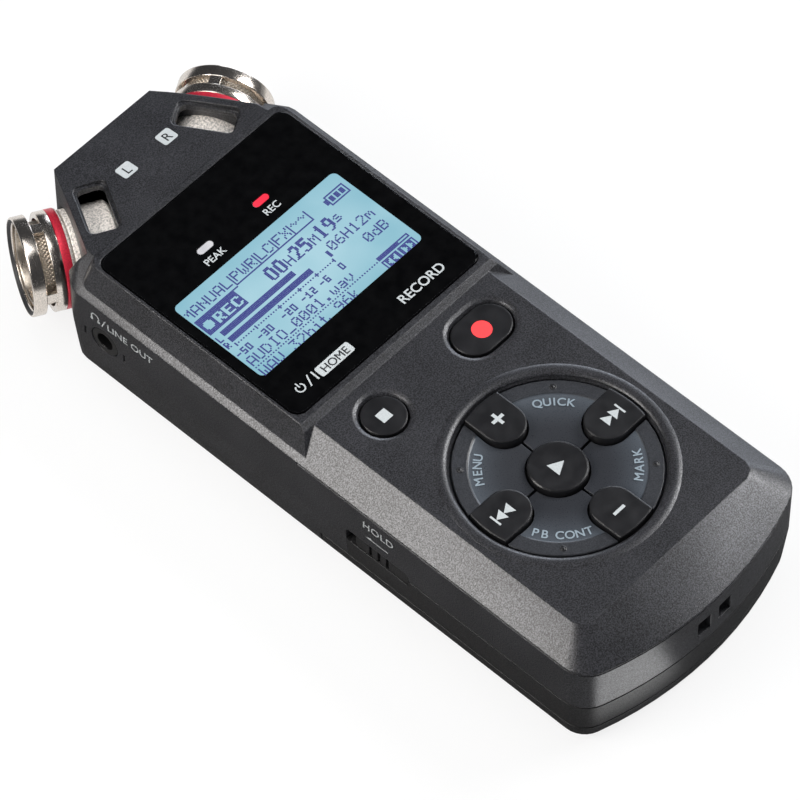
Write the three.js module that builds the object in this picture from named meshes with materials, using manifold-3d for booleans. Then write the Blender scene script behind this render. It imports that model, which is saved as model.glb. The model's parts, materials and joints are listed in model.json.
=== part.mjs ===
// Portable two-channel field recorder, held in one hand, with two fixed microphones on its head.
//
// Frame: millimetres. +X is to the reader's right when the display is upright, +Y runs along the case
// towards the microphones, +Z leaves the display. The origin is the middle of the case on its back face.

import * as THREE from "three";
import { ConvexGeometry } from "three/addons/geometries/ConvexGeometry.js";
import { mergeVertices } from "three/addons/utils/BufferGeometryUtils.js";
import Module from "manifold-3d";

// ---------------------------------------------------------------- driving dimensions

const CASE_WIDTH = 54;
const CASE_LENGTH = 141.5;
const DEPTH = 26; // back face to the front of the display glass
const WALL = 1.8;
const SEAM = 0.3; // width of an open joint between two mouldings
const FIT = 0.15; // clearance all round a piece that drops into an opening

// heights of the case's seams and edges above its back face
const PLATE_TOP_Z = 1.6;
const BAY_FLOOR_Z = 2.3;
const COVER_TOP_Z = 3.9;
const SPLIT_Z = 10.8;
const RIM_Z = 20.85;
const PANEL_Z = 25.05;
const HEAD_END_Z = 22.7;
const CEILING_Z = PANEL_Z - 2;

// plan of the case: a bowed lower end, straight sides, slanted shoulders under the microphones
const END_BOW_RADIUS = 70;
const END_CORNER_RADIUS = 5.8;
const SHOULDER_Y = 51.2;
const HEAD_HALF_WIDTH = 12;
const GROOVE_END_Y = -1.5; // the shadow line under the bevel stops beside the display
const SIDE_TAPER = 0.6; // how far the lower walls lean in at the battery cover's seam
const BACK_EDGE = [
  // [inset, height] of the edge that rounds the walls into the back face
  [3, 0],
  [1.9, 0.3],
  [1.2, 0.9],
  [0.8, 1.8],
];

// plan of the flat front panel, inside the bevel
const PANEL_HALF_WIDTH = 21.6;
const PANEL_END_Y = -60.6;
const HEAD_START_Y = 50;

// display
const GLASS_HALF_WIDTH = 22.8;
const GLASS_LOW_Y = 1.9;
const GLASS_HIGH_Y = 48.9;
const GLASS_CORNER = 2.2;
const GLASS_THICKNESS = 1.2;
const BLOCK_BORDER = 1.4; // above the glass
const BLOCK_SIDE_BORDER = 0.65;
const BLOCK_SIDE_SLOPE = 0.57; // outward per millimetre down
const LAMP_X = 6.85;
const LAMP_Y = 37.75;
const LAMP_SHIFT = -0.93; // the pair of lamps sits this far from the glass's middle
const LAMP_LENGTH = 3.4;
const LAMP_WIDTH = 1.25;

// keys
const KEY_GAP = 0.35;
const DIAL_Y = -35.8;
const DIAL_RADIUS = 17.75;
const DIAL_SEGMENTS = 44;
const DIAL_KEY_Z = 24.4;
const PLAY_Z = 24.7;
const RAISED_KEY_Z = 25.2;
const PLAY_RADIUS = 5.2;
const TONGUE_HALF_WIDTH = 4;
const TONGUE_CENTRE = 12.3;
const LIP = 1; // width of the soft edge round each key opening
const DIAL_LIP_DEPTH = 0.95;
const TOP_LIP_DEPTH = 0.8;
const TOP_KEY_Y = -7.7;
const TOP_KEY_X = 12.1;
const TOP_KEY_RADIUS = 4;
const TOP_KEY_Z = 24.7;
const RECORD_HALF_STRAIGHT = 1.9;
const FLANGE_LOW_Z = 22;
const FLANGE_HIGH_Z = 22.7;

// hold switch, on the left wall across the seam
const HOLD_LOW_Y = -27;
const HOLD_HIGH_Y = -12.8;
const HOLD_HALF_HEIGHT = 1.7;
const HOLD_TRAVEL = 1.9;
const HOLD_CORNER = 0.9;

// microphones
const MIC_X = 25.7;
const MIC_Y = 65.25;
const MIC_Z = 12.8;
const MIC_ANGLE = THREE.MathUtils.degToRad(29); // of each axis, seen in plan, from the X axis
const MIC_LIFT = THREE.MathUtils.degToRad(2.3); // of each axis, out of the XY plane
const MIC_RADIUS = 8.85;
const MIC_BODY_RADIUS = 8.3;
const MIC_BODY_END = -17;
// where the guard's rings and the coloured band start and end along the axis
const GUARD_FRONT_END = -2.4;
const GUARD_REAR_START = -4.15;
const GUARD_END = -6.05;
const BAND_START = -6.1;
const BAND_END = -7.6;
const FLANGE_END = -7.9;
const BARREL_START = -8.35;
const FLANK = -9.3; // where the head's flat flank crosses a microphone's axis
const FLANK_REACH = MIC_RADIUS + 0.45; // from that axis to the step in the shoulder
const SLOT_X = 13.4;
const SLOT_Y = 58.05;
const MIC_SEGMENTS = 30;

// sockets and back
const HEADPHONE_Y = 43.6;
const JACK_Z = 12.6;
const JACK_COLLAR_RADIUS = 3;
const JACK_BORE_RADIUS = 1.8;
const CARD_Y = 7.5;
const CARD_Z = 8;
const FLAP_HALF = 7.3;
const FLAP_LOW_Z = 5.3;
const FLAP_HIGH_Z = 11;
const USB_Y = 24;
const TRIPOD_Y = 14;
const TRIPOD_BORE_RADIUS = 3.15; // a quarter-inch camera thread
const TRIPOD_BUSH_RADIUS = 4.5;
const SPEAKER_Y = 36;
const BATTERY_RADIUS = 7.25;
const BATTERY_LENGTH = 50.5;
const BATTERY_X = 7.65;
const BATTERY_Z = 9;
const BAY_LOW_Y = -64.4;
const BAY_HIGH_Y = -10;
const BAY_HALF_WIDTH = BATTERY_X + BATTERY_RADIUS + 0.4;
const BAY_WALL = 1.2;
const BAY_FLOOR_TOP_Z = 5.3;
const COVER_EDGE_Y = -6.45;
const HOOK_X = 20.4;
const HOOK_Y = [-50, -22];
const HOOK_TRAVEL = 6;
const BOSS_X = 20.4;
const UPPER_BOSS_Y = 36;
const LOWER_BOSS_Y = -61.5;
const BOARD_LOW_Z = 17.7;
const BOARD_HIGH_Z = 19.3;

const FAR = 100; // well outside the recorder, for the far faces of cutting blocks

// ---------------------------------------------------------------- solid helpers

const wasm = await Module();
wasm.setup();

function solid(geometry) {
  const bare = geometry.clone();
  bare.deleteAttribute("normal");
  bare.deleteAttribute("uv");
  const merged = mergeVertices(bare, 1e-4);
  return new wasm.Manifold(
    new wasm.Mesh({
      numProp: 3,
      vertProperties: merged.attributes.position.array,
      triVerts: new Uint32Array(merged.index.array),
    }),
  );
}

function join(...geometries) {
  return geometries.map(solid).reduce((whole, piece) => whole.add(piece));
}

function cut(whole, ...cutters) {
  return cutters.map(solid).reduce((left, cutter) => left.subtract(cutter), whole);
}

function shapeOf(manifold) {
  const mesh = manifold.getMesh();
  const geometry = new THREE.BufferGeometry();
  geometry.setAttribute("position", new THREE.BufferAttribute(mesh.vertProperties, 3));
  geometry.setIndex(new THREE.BufferAttribute(mesh.triVerts, 1));
  const faceted = geometry.toNonIndexed();
  faceted.computeVertexNormals();
  return faceted;
}

function block(x0, x1, y0, y1, z0, z1) {
  const geometry = new THREE.BoxGeometry(x1 - x0, y1 - y0, z1 - z0);
  return geometry.translate((x0 + x1) / 2, (y0 + y1) / 2, (z0 + z1) / 2);
}

function slab(shape, z0, z1, curveSegments = 6) {
  const geometry = new THREE.ExtrudeGeometry(shape, { depth: z1 - z0, bevelEnabled: false, curveSegments });
  return geometry.translate(0, 0, z0);
}

function roundedRect(x0, x1, y0, y1, radius) {
  const shape = new THREE.Shape();
  shape.absarc(x1 - radius, y0 + radius, radius, -Math.PI / 2, 0);
  shape.absarc(x1 - radius, y1 - radius, radius, 0, Math.PI / 2);
  shape.absarc(x0 + radius, y1 - radius, radius, Math.PI / 2, Math.PI);
  shape.absarc(x0 + radius, y0 + radius, radius, Math.PI, Math.PI * 1.5);
  shape.closePath();
  return shape;
}

function obround(halfStraight, radius) {
  const shape = new THREE.Shape();
  shape.absarc(halfStraight, 0, radius, -Math.PI / 2, Math.PI / 2);
  shape.absarc(-halfStraight, 0, radius, Math.PI / 2, Math.PI * 1.5);
  shape.closePath();
  return shape;
}

// A solid of revolution about +Z from [radius, height] pairs; the profile is walked upwards on its outside.
function turned(profile, segments = 24) {
  const points = profile.map(([radius, height]) => new THREE.Vector2(radius, height));
  return new THREE.LatheGeometry(points, segments).rotateX(Math.PI / 2);
}

function rod(radius, z0, z1, segments = 24) {
  return turned([[0, z0], [radius, z0], [radius, z1], [0, z1]], segments);
}

function ring(outer, inner, z0, z1, segments = 32) {
  return turned([[inner, z0], [outer, z0], [outer, z1], [inner, z1], [inner, z0]], segments);
}

function at(geometry, x, y, z = 0) {
  return geometry.translate(x, y, z);
}

// ---------------------------------------------------------------- case envelope

// The plan of the case, moved in by an inset, walked anticlockwise from the lower right corner.
function casePlan(inset, z) {
  const half = CASE_WIDTH / 2;
  const bow = END_BOW_RADIUS - inset;
  const bowY = -CASE_LENGTH / 2 + END_BOW_RADIUS;
  const corner = END_CORNER_RADIUS - inset;
  const cornerX = half - END_CORNER_RADIUS;
  const cornerY = bowY - Math.sqrt((END_BOW_RADIUS - END_CORNER_RADIUS) ** 2 - cornerX ** 2);
  const swing = Math.atan2(bowY - cornerY, cornerX);
  const right = [];
  const steps = 6;
  for (let i = 0; i <= steps; i++) {
    const angle = -Math.PI / 2 + ((Math.PI / 2 - swing) * i) / steps;
    right.push([bow * Math.cos(angle), bowY + bow * Math.sin(angle)]);
  }
  for (let i = 1; i <= steps; i++) {
    const angle = -swing + (swing * i) / steps;
    right.push([cornerX + corner * Math.cos(angle), cornerY + corner * Math.sin(angle)]);
  }
  const shoulder = new THREE.Vector2(HEAD_HALF_WIDTH - half, CASE_LENGTH / 2 - SHOULDER_Y);
  const lean = inset * Math.tan(Math.atan2(-shoulder.x, shoulder.y) / 2);
  const topLean = inset * Math.tan((Math.PI / 2 - Math.atan2(-shoulder.x, shoulder.y)) / 2);
  // three points soften the corner into the slant, and three more the corner out of it
  const sideX = half - inset;
  const slantY = SHOULDER_Y - lean;
  right.push([sideX, slantY - 1.4], [sideX - 0.25, slantY - 0.2], [sideX - 0.95, slantY + 0.95]);
  const headX = HEAD_HALF_WIDTH - topLean;
  const headY = CASE_LENGTH / 2 - inset;
  right.push([headX + 0.9, headY - 1.9], [headX - 0.2, headY - 0.6], [headX - 1.8, headY]);
  const points = right.map(([x, y]) => new THREE.Vector3(x, y, z));
  return points.concat(points.slice(1).map((p) => new THREE.Vector3(-p.x, p.y, z)));
}

// The height of the front surface on the centre line: flat panel, then a head that curves down to its end.
function frontHeight(y) {
  const along = Math.max(0, y - HEAD_START_Y) / (CASE_LENGTH / 2 - HEAD_START_Y);
  return PANEL_Z - (PANEL_Z - HEAD_END_Z) * along ** 2;
}

// The edge where the flat front meets the bevel. Over the head it runs in at 30 degrees from the sides.
function frontEdge(inset, drop) {
  const edge = [
    [PANEL_HALF_WIDTH - inset - 2.4, PANEL_END_Y + inset],
    [PANEL_HALF_WIDTH - inset - 0.7, PANEL_END_Y + inset + 0.7],
    [PANEL_HALF_WIDTH - inset, PANEL_END_Y + inset + 2.4],
    [PANEL_HALF_WIDTH - inset, HEAD_START_Y],
  ];
  const headEdgeX = 21;
  const headEdgeY = 54.2;
  const headEdgeEnd = CASE_LENGTH / 2 - 0.55;
  for (let i = 0; i <= 4; i++) {
    const y = headEdgeY + ((headEdgeEnd - headEdgeY) * i) / 4;
    edge.push([headEdgeX - inset - (y - headEdgeY) * Math.tan(Math.PI / 6), y - inset]);
  }
  return edge.flatMap(([x, y]) => [
    new THREE.Vector3(x, y, frontHeight(y) - drop),
    new THREE.Vector3(-x, y, frontHeight(y) - drop),
  ]);
}

function caseEnvelope() {
  return new ConvexGeometry([
    ...BACK_EDGE.flatMap(([inset, z]) => casePlan(inset, z)),
    ...casePlan(SIDE_TAPER, COVER_TOP_Z),
    ...casePlan(0, SPLIT_Z),
    ...casePlan(0, RIM_Z),
    ...frontEdge(0, 0),
  ]);
}

// The hollow inside the case, one wall in from the envelope and open through the back.
function caseHollow() {
  const slopeInset = 0.4;
  return new ConvexGeometry([
    ...casePlan(WALL + 1.2, -2),
    ...casePlan(WALL + SIDE_TAPER, COVER_TOP_Z),
    ...casePlan(WALL, SPLIT_Z),
    ...casePlan(WALL, RIM_Z - 1.1),
    ...frontEdge(slopeInset, PANEL_Z - CEILING_Z),
  ]);
}

// The raised block that frames the display glass, with steep sides and a ramp down to the panel.
function displayBlock() {
  const top = GLASS_HIGH_Y + BLOCK_BORDER;
  const high = DEPTH - 0.1;
  const halfAt = (z) => GLASS_HALF_WIDTH + BLOCK_SIDE_BORDER + (high - z) * BLOCK_SIDE_SLOPE;
  const levels = [
    [halfAt(high), 0.65, top, high],
    [halfAt(PANEL_Z), -0.6, top + 0.3, PANEL_Z],
    [halfAt(RIM_Z), -3.2, top + 0.6, RIM_Z],
  ];
  const points = levels.flatMap(([x, y0, y1, z]) => {
    const corners = [];
    for (let i = 0; i <= 4; i++) {
      const angle = (Math.PI / 2) * (i / 4);
      const cx = x - GLASS_CORNER * (1 - Math.cos(angle));
      const cy = y1 - GLASS_CORNER * (1 - Math.sin(angle));
      corners.push(new THREE.Vector3(cx, cy, z), new THREE.Vector3(-cx, cy, z));
    }
    corners.push(new THREE.Vector3(x, y0, z), new THREE.Vector3(-x, y0, z));
    return corners;
  });
  return new ConvexGeometry(points);
}

// ---------------------------------------------------------------- microphone frame

// Moves a shape built about +Z, front face at 0, onto a microphone's axis. side is +1 right, -1 left.
function ontoMic(geometry, side) {
  const azimuth = side > 0 ? MIC_ANGLE : Math.PI - MIC_ANGLE;
  return at(geometry.rotateY(Math.PI / 2 - MIC_LIFT).rotateZ(azimuth), side * MIC_X, MIC_Y, MIC_Z);
}

// The space beside the head that a microphone stands in, outside a flank and beyond a step in the shoulder.
function micSpace(side, flank, reach) {
  const y0 = side > 0 ? -reach : -FAR;
  const y1 = side > 0 ? FAR : reach;
  return ontoMic(block(-FAR, FAR, y0, y1, flank, FAR), side);
}

function micSlot(side, length, width, z0, z1) {
  const shape = roundedRect(-width / 2, width / 2, -length / 2, length / 2, 1.3);
  return at(slab(shape, z0, z1, 3).rotateZ(side * MIC_ANGLE), side * SLOT_X, SLOT_Y);
}

// ---------------------------------------------------------------- case mouldings

// Half the section of a key opening: a straight bore with a soft lip that widens to the panel's face.
function openingSection(radius, lipDepth) {
  return [
    [0, CEILING_Z - 3],
    [radius, CEILING_Z - 3],
    [radius, PANEL_Z - lipDepth],
    [radius + LIP * 0.35, PANEL_Z - lipDepth * 0.35],
    [radius + LIP, PANEL_Z],
    [radius + LIP, DEPTH + 1],
    [0, DEPTH + 1],
  ];
}

function keyOpening(radius, lipDepth, segments) {
  return turned(openingSection(radius, lipDepth), segments);
}

// The long opening of the record button: two round ends and the same section drawn out between them.
function recordOpening() {
  const section = openingSection(TOP_KEY_RADIUS + KEY_GAP, TOP_LIP_DEPTH);
  const ends = [-RECORD_HALF_STRAIGHT, RECORD_HALF_STRAIGHT].map((x) =>
    at(turned(section, 20), TOP_KEY_X + x, TOP_KEY_Y),
  );
  const outline = section.slice(1, -1);
  const mirrored = outline.map(([y, z]) => [-y, z]).reverse();
  const profile = new THREE.Shape([...outline, ...mirrored].map(([y, z]) => new THREE.Vector2(y, z)));
  const middle = slab(profile, -RECORD_HALF_STRAIGHT, RECORD_HALF_STRAIGHT);
  middle.rotateX(Math.PI / 2).rotateZ(Math.PI / 2);
  return [...ends, at(middle, TOP_KEY_X, TOP_KEY_Y)];
}

// Everything behind the seams belongs to the rear moulding and the battery cover.
function belowFrontSeam() {
  return [
    block(-FAR, FAR, -FAR, HOLD_HIGH_Y, -FAR, SPLIT_Z + SEAM / 2),
    block(-FAR, FAR, -FAR, COVER_EDGE_Y + FIT, -FAR, COVER_TOP_Z + SEAM / 2),
    block(-FAR, FAR, -FAR, FAR, -FAR, PLATE_TOP_Z + SEAM / 2),
  ];
}

// The opening for the hold slider, through the left wall.
function holdOpening() {
  const shape = roundedRect(
    SPLIT_Z - HOLD_HALF_HEIGHT,
    SPLIT_Z + HOLD_HALF_HEIGHT,
    HOLD_LOW_Y,
    HOLD_HIGH_Y,
    HOLD_CORNER,
  );
  const geometry = slab(shape, 0, 6, 3).rotateY(-Math.PI / 2);
  return at(geometry, -CASE_WIDTH / 2 + 4, 0);
}

function frontCase() {
  const walls = [-1, 1].map((side) => micSpace(side, FLANK - WALL, FLANK_REACH + WALL));
  const hollow = shapeOf(cut(solid(caseHollow()), ...walls));
  const blank = cut(join(caseEnvelope(), displayBlock()), hollow);
  const half = CASE_WIDTH / 2;
  const glassHalf = GLASS_HALF_WIDTH + FIT;
  const glassSeat = roundedRect(-glassHalf, glassHalf, GLASS_LOW_Y - FIT, GLASS_HIGH_Y + FIT, GLASS_CORNER);
  const ledge = 1.4;
  const window = roundedRect(
    ledge - glassHalf,
    glassHalf - ledge,
    GLASS_LOW_Y + ledge,
    GLASS_HIGH_Y - ledge,
    1.5,
  );
  const openings = [
    slab(glassSeat, DEPTH - GLASS_THICKNESS - 0.05, DEPTH + 1, 4),
    slab(window, CEILING_Z - 4, DEPTH, 3),
    at(keyOpening(DIAL_RADIUS + KEY_GAP, DIAL_LIP_DEPTH, DIAL_SEGMENTS), 0, DIAL_Y),
    at(keyOpening(TOP_KEY_RADIUS + KEY_GAP, TOP_LIP_DEPTH, 20), -TOP_KEY_X, TOP_KEY_Y),
    ...recordOpening(),
    holdOpening(),
  ];
  for (const side of [-1, 1]) {
    openings.push(
      micSpace(side, FLANK, FLANK_REACH),
      ontoMic(rod(MIC_BODY_RADIUS + 0.35, -13, BAND_END, MIC_SEGMENTS), side),
      micSlot(side, 10.4, 5, 18, 30),
      micSlot(side, 11.4, 6, 23.6, 30),
    );
  }
  // sockets: headphones on the left, microphone input between the microphones, card and data on the right
  const jackHole = (z0, z1) => rod(JACK_COLLAR_RADIUS + FIT, z0, z1, 24);
  const flapHole = FLAP_HALF + 0.2;
  openings.push(
    at(jackHole(-3, 3).rotateY(Math.PI / 2), -half, HEADPHONE_Y, JACK_Z),
    at(jackHole(-3, 3).rotateX(Math.PI / 2), 0, CASE_LENGTH / 2, JACK_Z),
    at(slab(obround(4.6, 1.75), -3, 3).rotateX(Math.PI / 2).rotateZ(Math.PI / 2), half, USB_Y, CARD_Z + 1),
    block(half - 4, FAR, CARD_Y - flapHole, CARD_Y + flapHole, FLAP_LOW_Z - 0.2, FLAP_HIGH_Z + 0.2),
  );
  for (const offset of [-4.6, 4.6]) {
    const y = HEADPHONE_Y + offset;
    openings.push(block(-half - 1, -half + 0.6, y - 0.2, y + 0.2, JACK_Z - 1.6, JACK_Z + 0.4));
  }
  // two square strap holes with a bar left between them
  for (const side of [-1, 1]) {
    const x0 = Math.min(side * 1, side * 4.1);
    openings.push(block(x0, x0 + 3.1, -CASE_LENGTH / 2 - 1, -CASE_LENGTH / 2 + 4, 13.5, 17.4));
  }
  let body = cut(blank, ...openings);
  for (const [y, low] of [[UPPER_BOSS_Y, 3.2], [LOWER_BOSS_Y, BAY_FLOOR_TOP_Z + 0.3]]) {
    for (const side of [-1, 1]) {
      const post = rod(2.6, low, BOARD_LOW_Z - 0.3, 16);
      const pilot = rod(1.1, low - 1, low + 8, 12);
      const web = block(0, CASE_WIDTH / 2 - BOSS_X - 1, -0.8, 0.8, low, BOARD_LOW_Z - 0.3);
      const turnedWeb = side > 0 ? web : web.rotateZ(Math.PI);
      body = body.add(solid(at(post, side * BOSS_X, y))).add(solid(at(turnedWeb, side * BOSS_X, y)));
      body = cut(body, at(pilot, side * BOSS_X, y));
    }
  }
  return shapeOf(cut(body, ...belowFrontSeam(), rimGroove()));
}

// The fine shadow line under the bevel: a shallow groove round the case below the display.
function rimGroove() {
  const depth = 0.35;
  const high = RIM_Z - 0.15;
  const low = high - 0.3;
  const outer = new ConvexGeometry([...casePlan(-1, low), ...casePlan(-1, high)]);
  const inner = new ConvexGeometry([...casePlan(depth, low - 1), ...casePlan(depth, high + 1)]);
  const groove = solid(outer)
    .subtract(solid(inner))
    .intersect(solid(block(-FAR, FAR, -FAR, GROOVE_END_Y, -FAR, FAR)));
  return shapeOf(groove);
}

// A flat-sided prism on the case plan, cut to a stretch of its length.
function planPrism(inset, z0, z1, y0, y1) {
  const prism = new ConvexGeometry([...casePlan(inset, z0), ...casePlan(inset, z1)]);
  return solid(prism).intersect(solid(block(-FAR, FAR, y0, y1, -FAR, FAR)));
}

// The back moulding: a floor and low walls round the battery bay, and a flat plate behind the upper half.
function rearCase() {
  const envelope = solid(caseEnvelope());
  const wallLow = COVER_TOP_Z + SEAM / 2;
  const end = HOLD_HIGH_Y - 0.05;
  const wall = envelope
    .intersect(solid(block(-FAR, FAR, -FAR, end, wallLow, SPLIT_Z - SEAM / 2)))
    .subtract(planPrism(WALL, wallLow - 1, SPLIT_Z + 1, -FAR, end + 1));
  const stepEnd = COVER_EDGE_Y + 1.5;
  const floorInset = SIDE_TAPER + 2.6;
  const floor = planPrism(floorInset, BAY_FLOOR_Z, BAY_FLOOR_TOP_Z, -FAR, stepEnd);
  const floorEdge = planPrism(WALL - 0.3, wallLow, BAY_FLOOR_TOP_Z, -FAR, end);
  const plate = envelope.intersect(solid(block(-FAR, FAR, COVER_EDGE_Y, FAR, -1, PLATE_TOP_Z)));
  const step = planPrism(floorInset, 0.5, BAY_FLOOR_TOP_Z, COVER_EDGE_Y, stepEnd).intersect(envelope);
  const bay = block(
    -BAY_HALF_WIDTH - BAY_WALL,
    BAY_HALF_WIDTH + BAY_WALL,
    BAY_LOW_Y - BAY_WALL,
    BAY_HIGH_Y + BAY_WALL,
    BAY_FLOOR_Z,
    BOARD_LOW_Z - 0.3,
  );
  const bayHollow = block(-BAY_HALF_WIDTH, BAY_HALF_WIDTH, BAY_LOW_Y, BAY_HIGH_Y, -1, 16.4);
  let body = wall.add(floor).add(floorEdge).add(plate).add(step).add(solid(bay));
  const flanks = [-1, 1].map((side) => micSpace(side, FLANK, FLANK_REACH));
  body = cut(body, bayHollow, holdOpening(), ...flanks);
  for (const [y, faceZ, padTop] of [[UPPER_BOSS_Y, 0, 3], [LOWER_BOSS_Y, BAY_FLOOR_Z, BAY_FLOOR_TOP_Z]]) {
    for (const side of [-1, 1]) {
      const pad = at(rod(2.8, faceZ + 0.6, padTop, 16), side * BOSS_X, y);
      const hole = at(rod(1.3, faceZ - 1, padTop + 1, 12), side * BOSS_X, y);
      const headSeat = at(rod(2.2, faceZ - 1, faceZ + 1.3, 16), side * BOSS_X, y);
      body = cut(body.add(solid(pad)), hole, headSeat);
    }
  }
  // seats for the tripod thread and the loudspeaker, with a slotted grille under the loudspeaker
  body = body.add(solid(at(rod(TRIPOD_BUSH_RADIUS + 1.7, 0.8, 7, 20), 0, TRIPOD_Y)));
  body = cut(body, at(rod(TRIPOD_BUSH_RADIUS + 0.3, -1, 7.5, 20), 0, TRIPOD_Y));
  body = body.add(solid(at(ring(9.6, 8.4, 1, 4.4, 20), 0, SPEAKER_Y)));
  for (let i = -2; i <= 2; i++) {
    const halfLength = 5.6 - Math.abs(i) * 1.1;
    body = cut(body, at(slab(obround(halfLength, 0.5), -1, 3, 3), 0, SPEAKER_Y + i * 2.2));
  }
  // notches that the cover's four hooks drop into before it slides shut
  for (const y of HOOK_Y) {
    for (const side of [-1, 1]) {
      const notch = block(-1.1, 1.1, -HOOK_TRAVEL - 2, 1.8, BAY_FLOOR_Z - 1, BAY_FLOOR_TOP_Z + 1);
      body = cut(body, at(notch, side * HOOK_X, y));
    }
  }
  return shapeOf(body);
}

function batteryCover() {
  const slice = solid(caseEnvelope()).intersect(
    solid(block(-FAR, FAR, -FAR, COVER_EDGE_Y - FIT, -1, COVER_TOP_Z - SEAM / 2)),
  );
  const tray = new ConvexGeometry([...casePlan(3.6, 1.5), ...casePlan(2.1, 3), ...casePlan(2, 5)]);
  let cover = cut(slice, tray);
  for (const y of HOOK_Y) {
    for (const side of [-1, 1]) {
      const stem = block(-0.6, 0.6, -1.5, 1.5, 1.2, BAY_FLOOR_TOP_Z + 1);
      const foot = block(-0.6, 0.6, -1.5, 3.4, BAY_FLOOR_TOP_Z + 0.2, BAY_FLOOR_TOP_Z + 1);
      cover = cover.add(solid(at(shapeOf(join(stem, foot)), side * HOOK_X, y)));
    }
  }
  // a ribbed thumb grip near the upper edge
  for (let i = 0; i < 4; i++) {
    const y = -14 - i * 2;
    cover = cut(cover, block(-8, 8, y - 0.4, y + 0.4, -1, 0.4));
  }
  return shapeOf(cover);
}

// ---------------------------------------------------------------- display

function lampPlan(side, grow) {
  const radius = LAMP_WIDTH / 2 + grow;
  const straight = (LAMP_LENGTH - LAMP_WIDTH) / 2;
  const middle = LAMP_SHIFT + side * LAMP_X;
  const shape = new THREE.Shape();
  shape.absarc(middle + straight, LAMP_Y, radius, -Math.PI / 2, Math.PI / 2);
  shape.absarc(middle - straight, LAMP_Y, radius, Math.PI / 2, Math.PI * 1.5);
  shape.closePath();
  return shape;
}

function displayGlass() {
  const plan = roundedRect(-GLASS_HALF_WIDTH, GLASS_HALF_WIDTH, GLASS_LOW_Y, GLASS_HIGH_Y, GLASS_CORNER);
  const low = DEPTH - GLASS_THICKNESS;
  const holes = [-1, 1].map((side) => slab(lampPlan(side, 0.12), low - 1, DEPTH + 1, 4));
  return shapeOf(cut(solid(slab(plan, low, DEPTH, 4)), ...holes));
}

function lamp(side) {
  return slab(lampPlan(side, 0), BOARD_HIGH_Z + 0.1, DEPTH - 0.05, 4);
}

function lcdModule() {
  return block(-21.1, 20.6, 9.5, 36, BOARD_HIGH_Z + 0.1, DEPTH - GLASS_THICKNESS - 0.1);
}

// ---------------------------------------------------------------- keys

function keyFlange(inner, outer) {
  return ring(outer, inner, FLANGE_LOW_Z, FLANGE_HIGH_Z, DIAL_SEGMENTS);
}

function tonguePlan(grow) {
  const half = TONGUE_HALF_WIDTH + grow;
  const reach = grow ? DIAL_RADIUS + 3 : DIAL_RADIUS;
  const swing = Math.asin(half / reach);
  const shape = new THREE.Shape();
  shape.absarc(0, 0, reach, -swing, swing);
  shape.absarc(TONGUE_CENTRE, 0, half, Math.PI / 2, Math.PI * 1.5);
  shape.closePath();
  return shape;
}

// One of the four raised tongue keys. quarter counts quarter turns anticlockwise from +X.
function tongueKey(quarter) {
  const flange = solid(keyFlange(DIAL_RADIUS - 1.5, DIAL_RADIUS + 1)).intersect(
    solid(block(0, 30, -TONGUE_HALF_WIDTH, TONGUE_HALF_WIDTH, 20, 30)),
  );
  const key = solid(slab(tonguePlan(0), FLANGE_LOW_Z, RAISED_KEY_Z, 7)).add(flange);
  return at(shapeOf(key).rotateZ((quarter * Math.PI) / 2), 0, DIAL_Y);
}

// One of the four quadrant keys. quarter 0 lies between +X and +Y.
function quadrantKey(quarter) {
  const low = FLANGE_LOW_Z;
  const high = DIAL_KEY_Z;
  const disc = turned(
    [
      [PLAY_RADIUS + KEY_GAP, low],
      [DIAL_RADIUS, low],
      [DIAL_RADIUS, high - 0.15],
      [DIAL_RADIUS - 0.15, high],
      [15.2, high],
      [14.8, high - 0.25],
      [PLAY_RADIUS + KEY_GAP, high - 1],
      [PLAY_RADIUS + KEY_GAP, low],
    ],
    DIAL_SEGMENTS,
  );
  const gap = KEY_GAP / 2 + 0.08;
  const sector = solid(disc)
    .add(solid(keyFlange(DIAL_RADIUS - 1.5, DIAL_RADIUS + 1)))
    .intersect(solid(block(gap, 30, gap, 30, 20, 30)));
  const tongue = slab(tonguePlan(KEY_GAP), 20, 30, 7);
  const key = cut(sector, tongue, tongue.clone().rotateZ(Math.PI / 2));
  return at(shapeOf(key).rotateZ((quarter * Math.PI) / 2), 0, DIAL_Y);
}

function playButton() {
  const chamfer = 0.2;
  const profile = [
    [0, FLANGE_LOW_Z],
    [PLAY_RADIUS, FLANGE_LOW_Z],
    [PLAY_RADIUS, PLAY_Z - chamfer],
    [PLAY_RADIUS - chamfer, PLAY_Z],
    [0, PLAY_Z],
  ];
  return at(turned(profile, 28), 0, DIAL_Y);
}

// A flanged key cap for the two keys above the dial.
function topKey(halfStraight) {
  const cap = slab(obround(halfStraight, TOP_KEY_RADIUS), FLANGE_LOW_Z, TOP_KEY_Z, 10);
  const flange = slab(obround(halfStraight, TOP_KEY_RADIUS + 1), FLANGE_LOW_Z, FLANGE_HIGH_Z, 10);
  return shapeOf(join(cap, flange));
}

function keyMat() {
  const domes = [[-TOP_KEY_X, TOP_KEY_Y], [TOP_KEY_X, TOP_KEY_Y], [0, DIAL_Y]];
  for (let quarter = 0; quarter < 4; quarter++) {
    const straight = (quarter * Math.PI) / 2;
    domes.push([13 * Math.cos(straight), DIAL_Y + 13 * Math.sin(straight)]);
    const slant = straight + Math.PI / 4;
    domes.push([12 * Math.cos(slant), DIAL_Y + 12 * Math.sin(slant)]);
  }
  const low = BOARD_HIGH_Z + 0.05;
  const mat = slab(roundedRect(-21, 21, -57, -2.5, 3), low, low + 1.2, 3);
  const bumps = domes.map(([x, y]) =>
    at(turned([[0, low + 1], [2.2, low + 1], [1.5, low + 2.05], [0, low + 2.05]], 8), x, y),
  );
  return shapeOf(join(mat, ...bumps));
}

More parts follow.
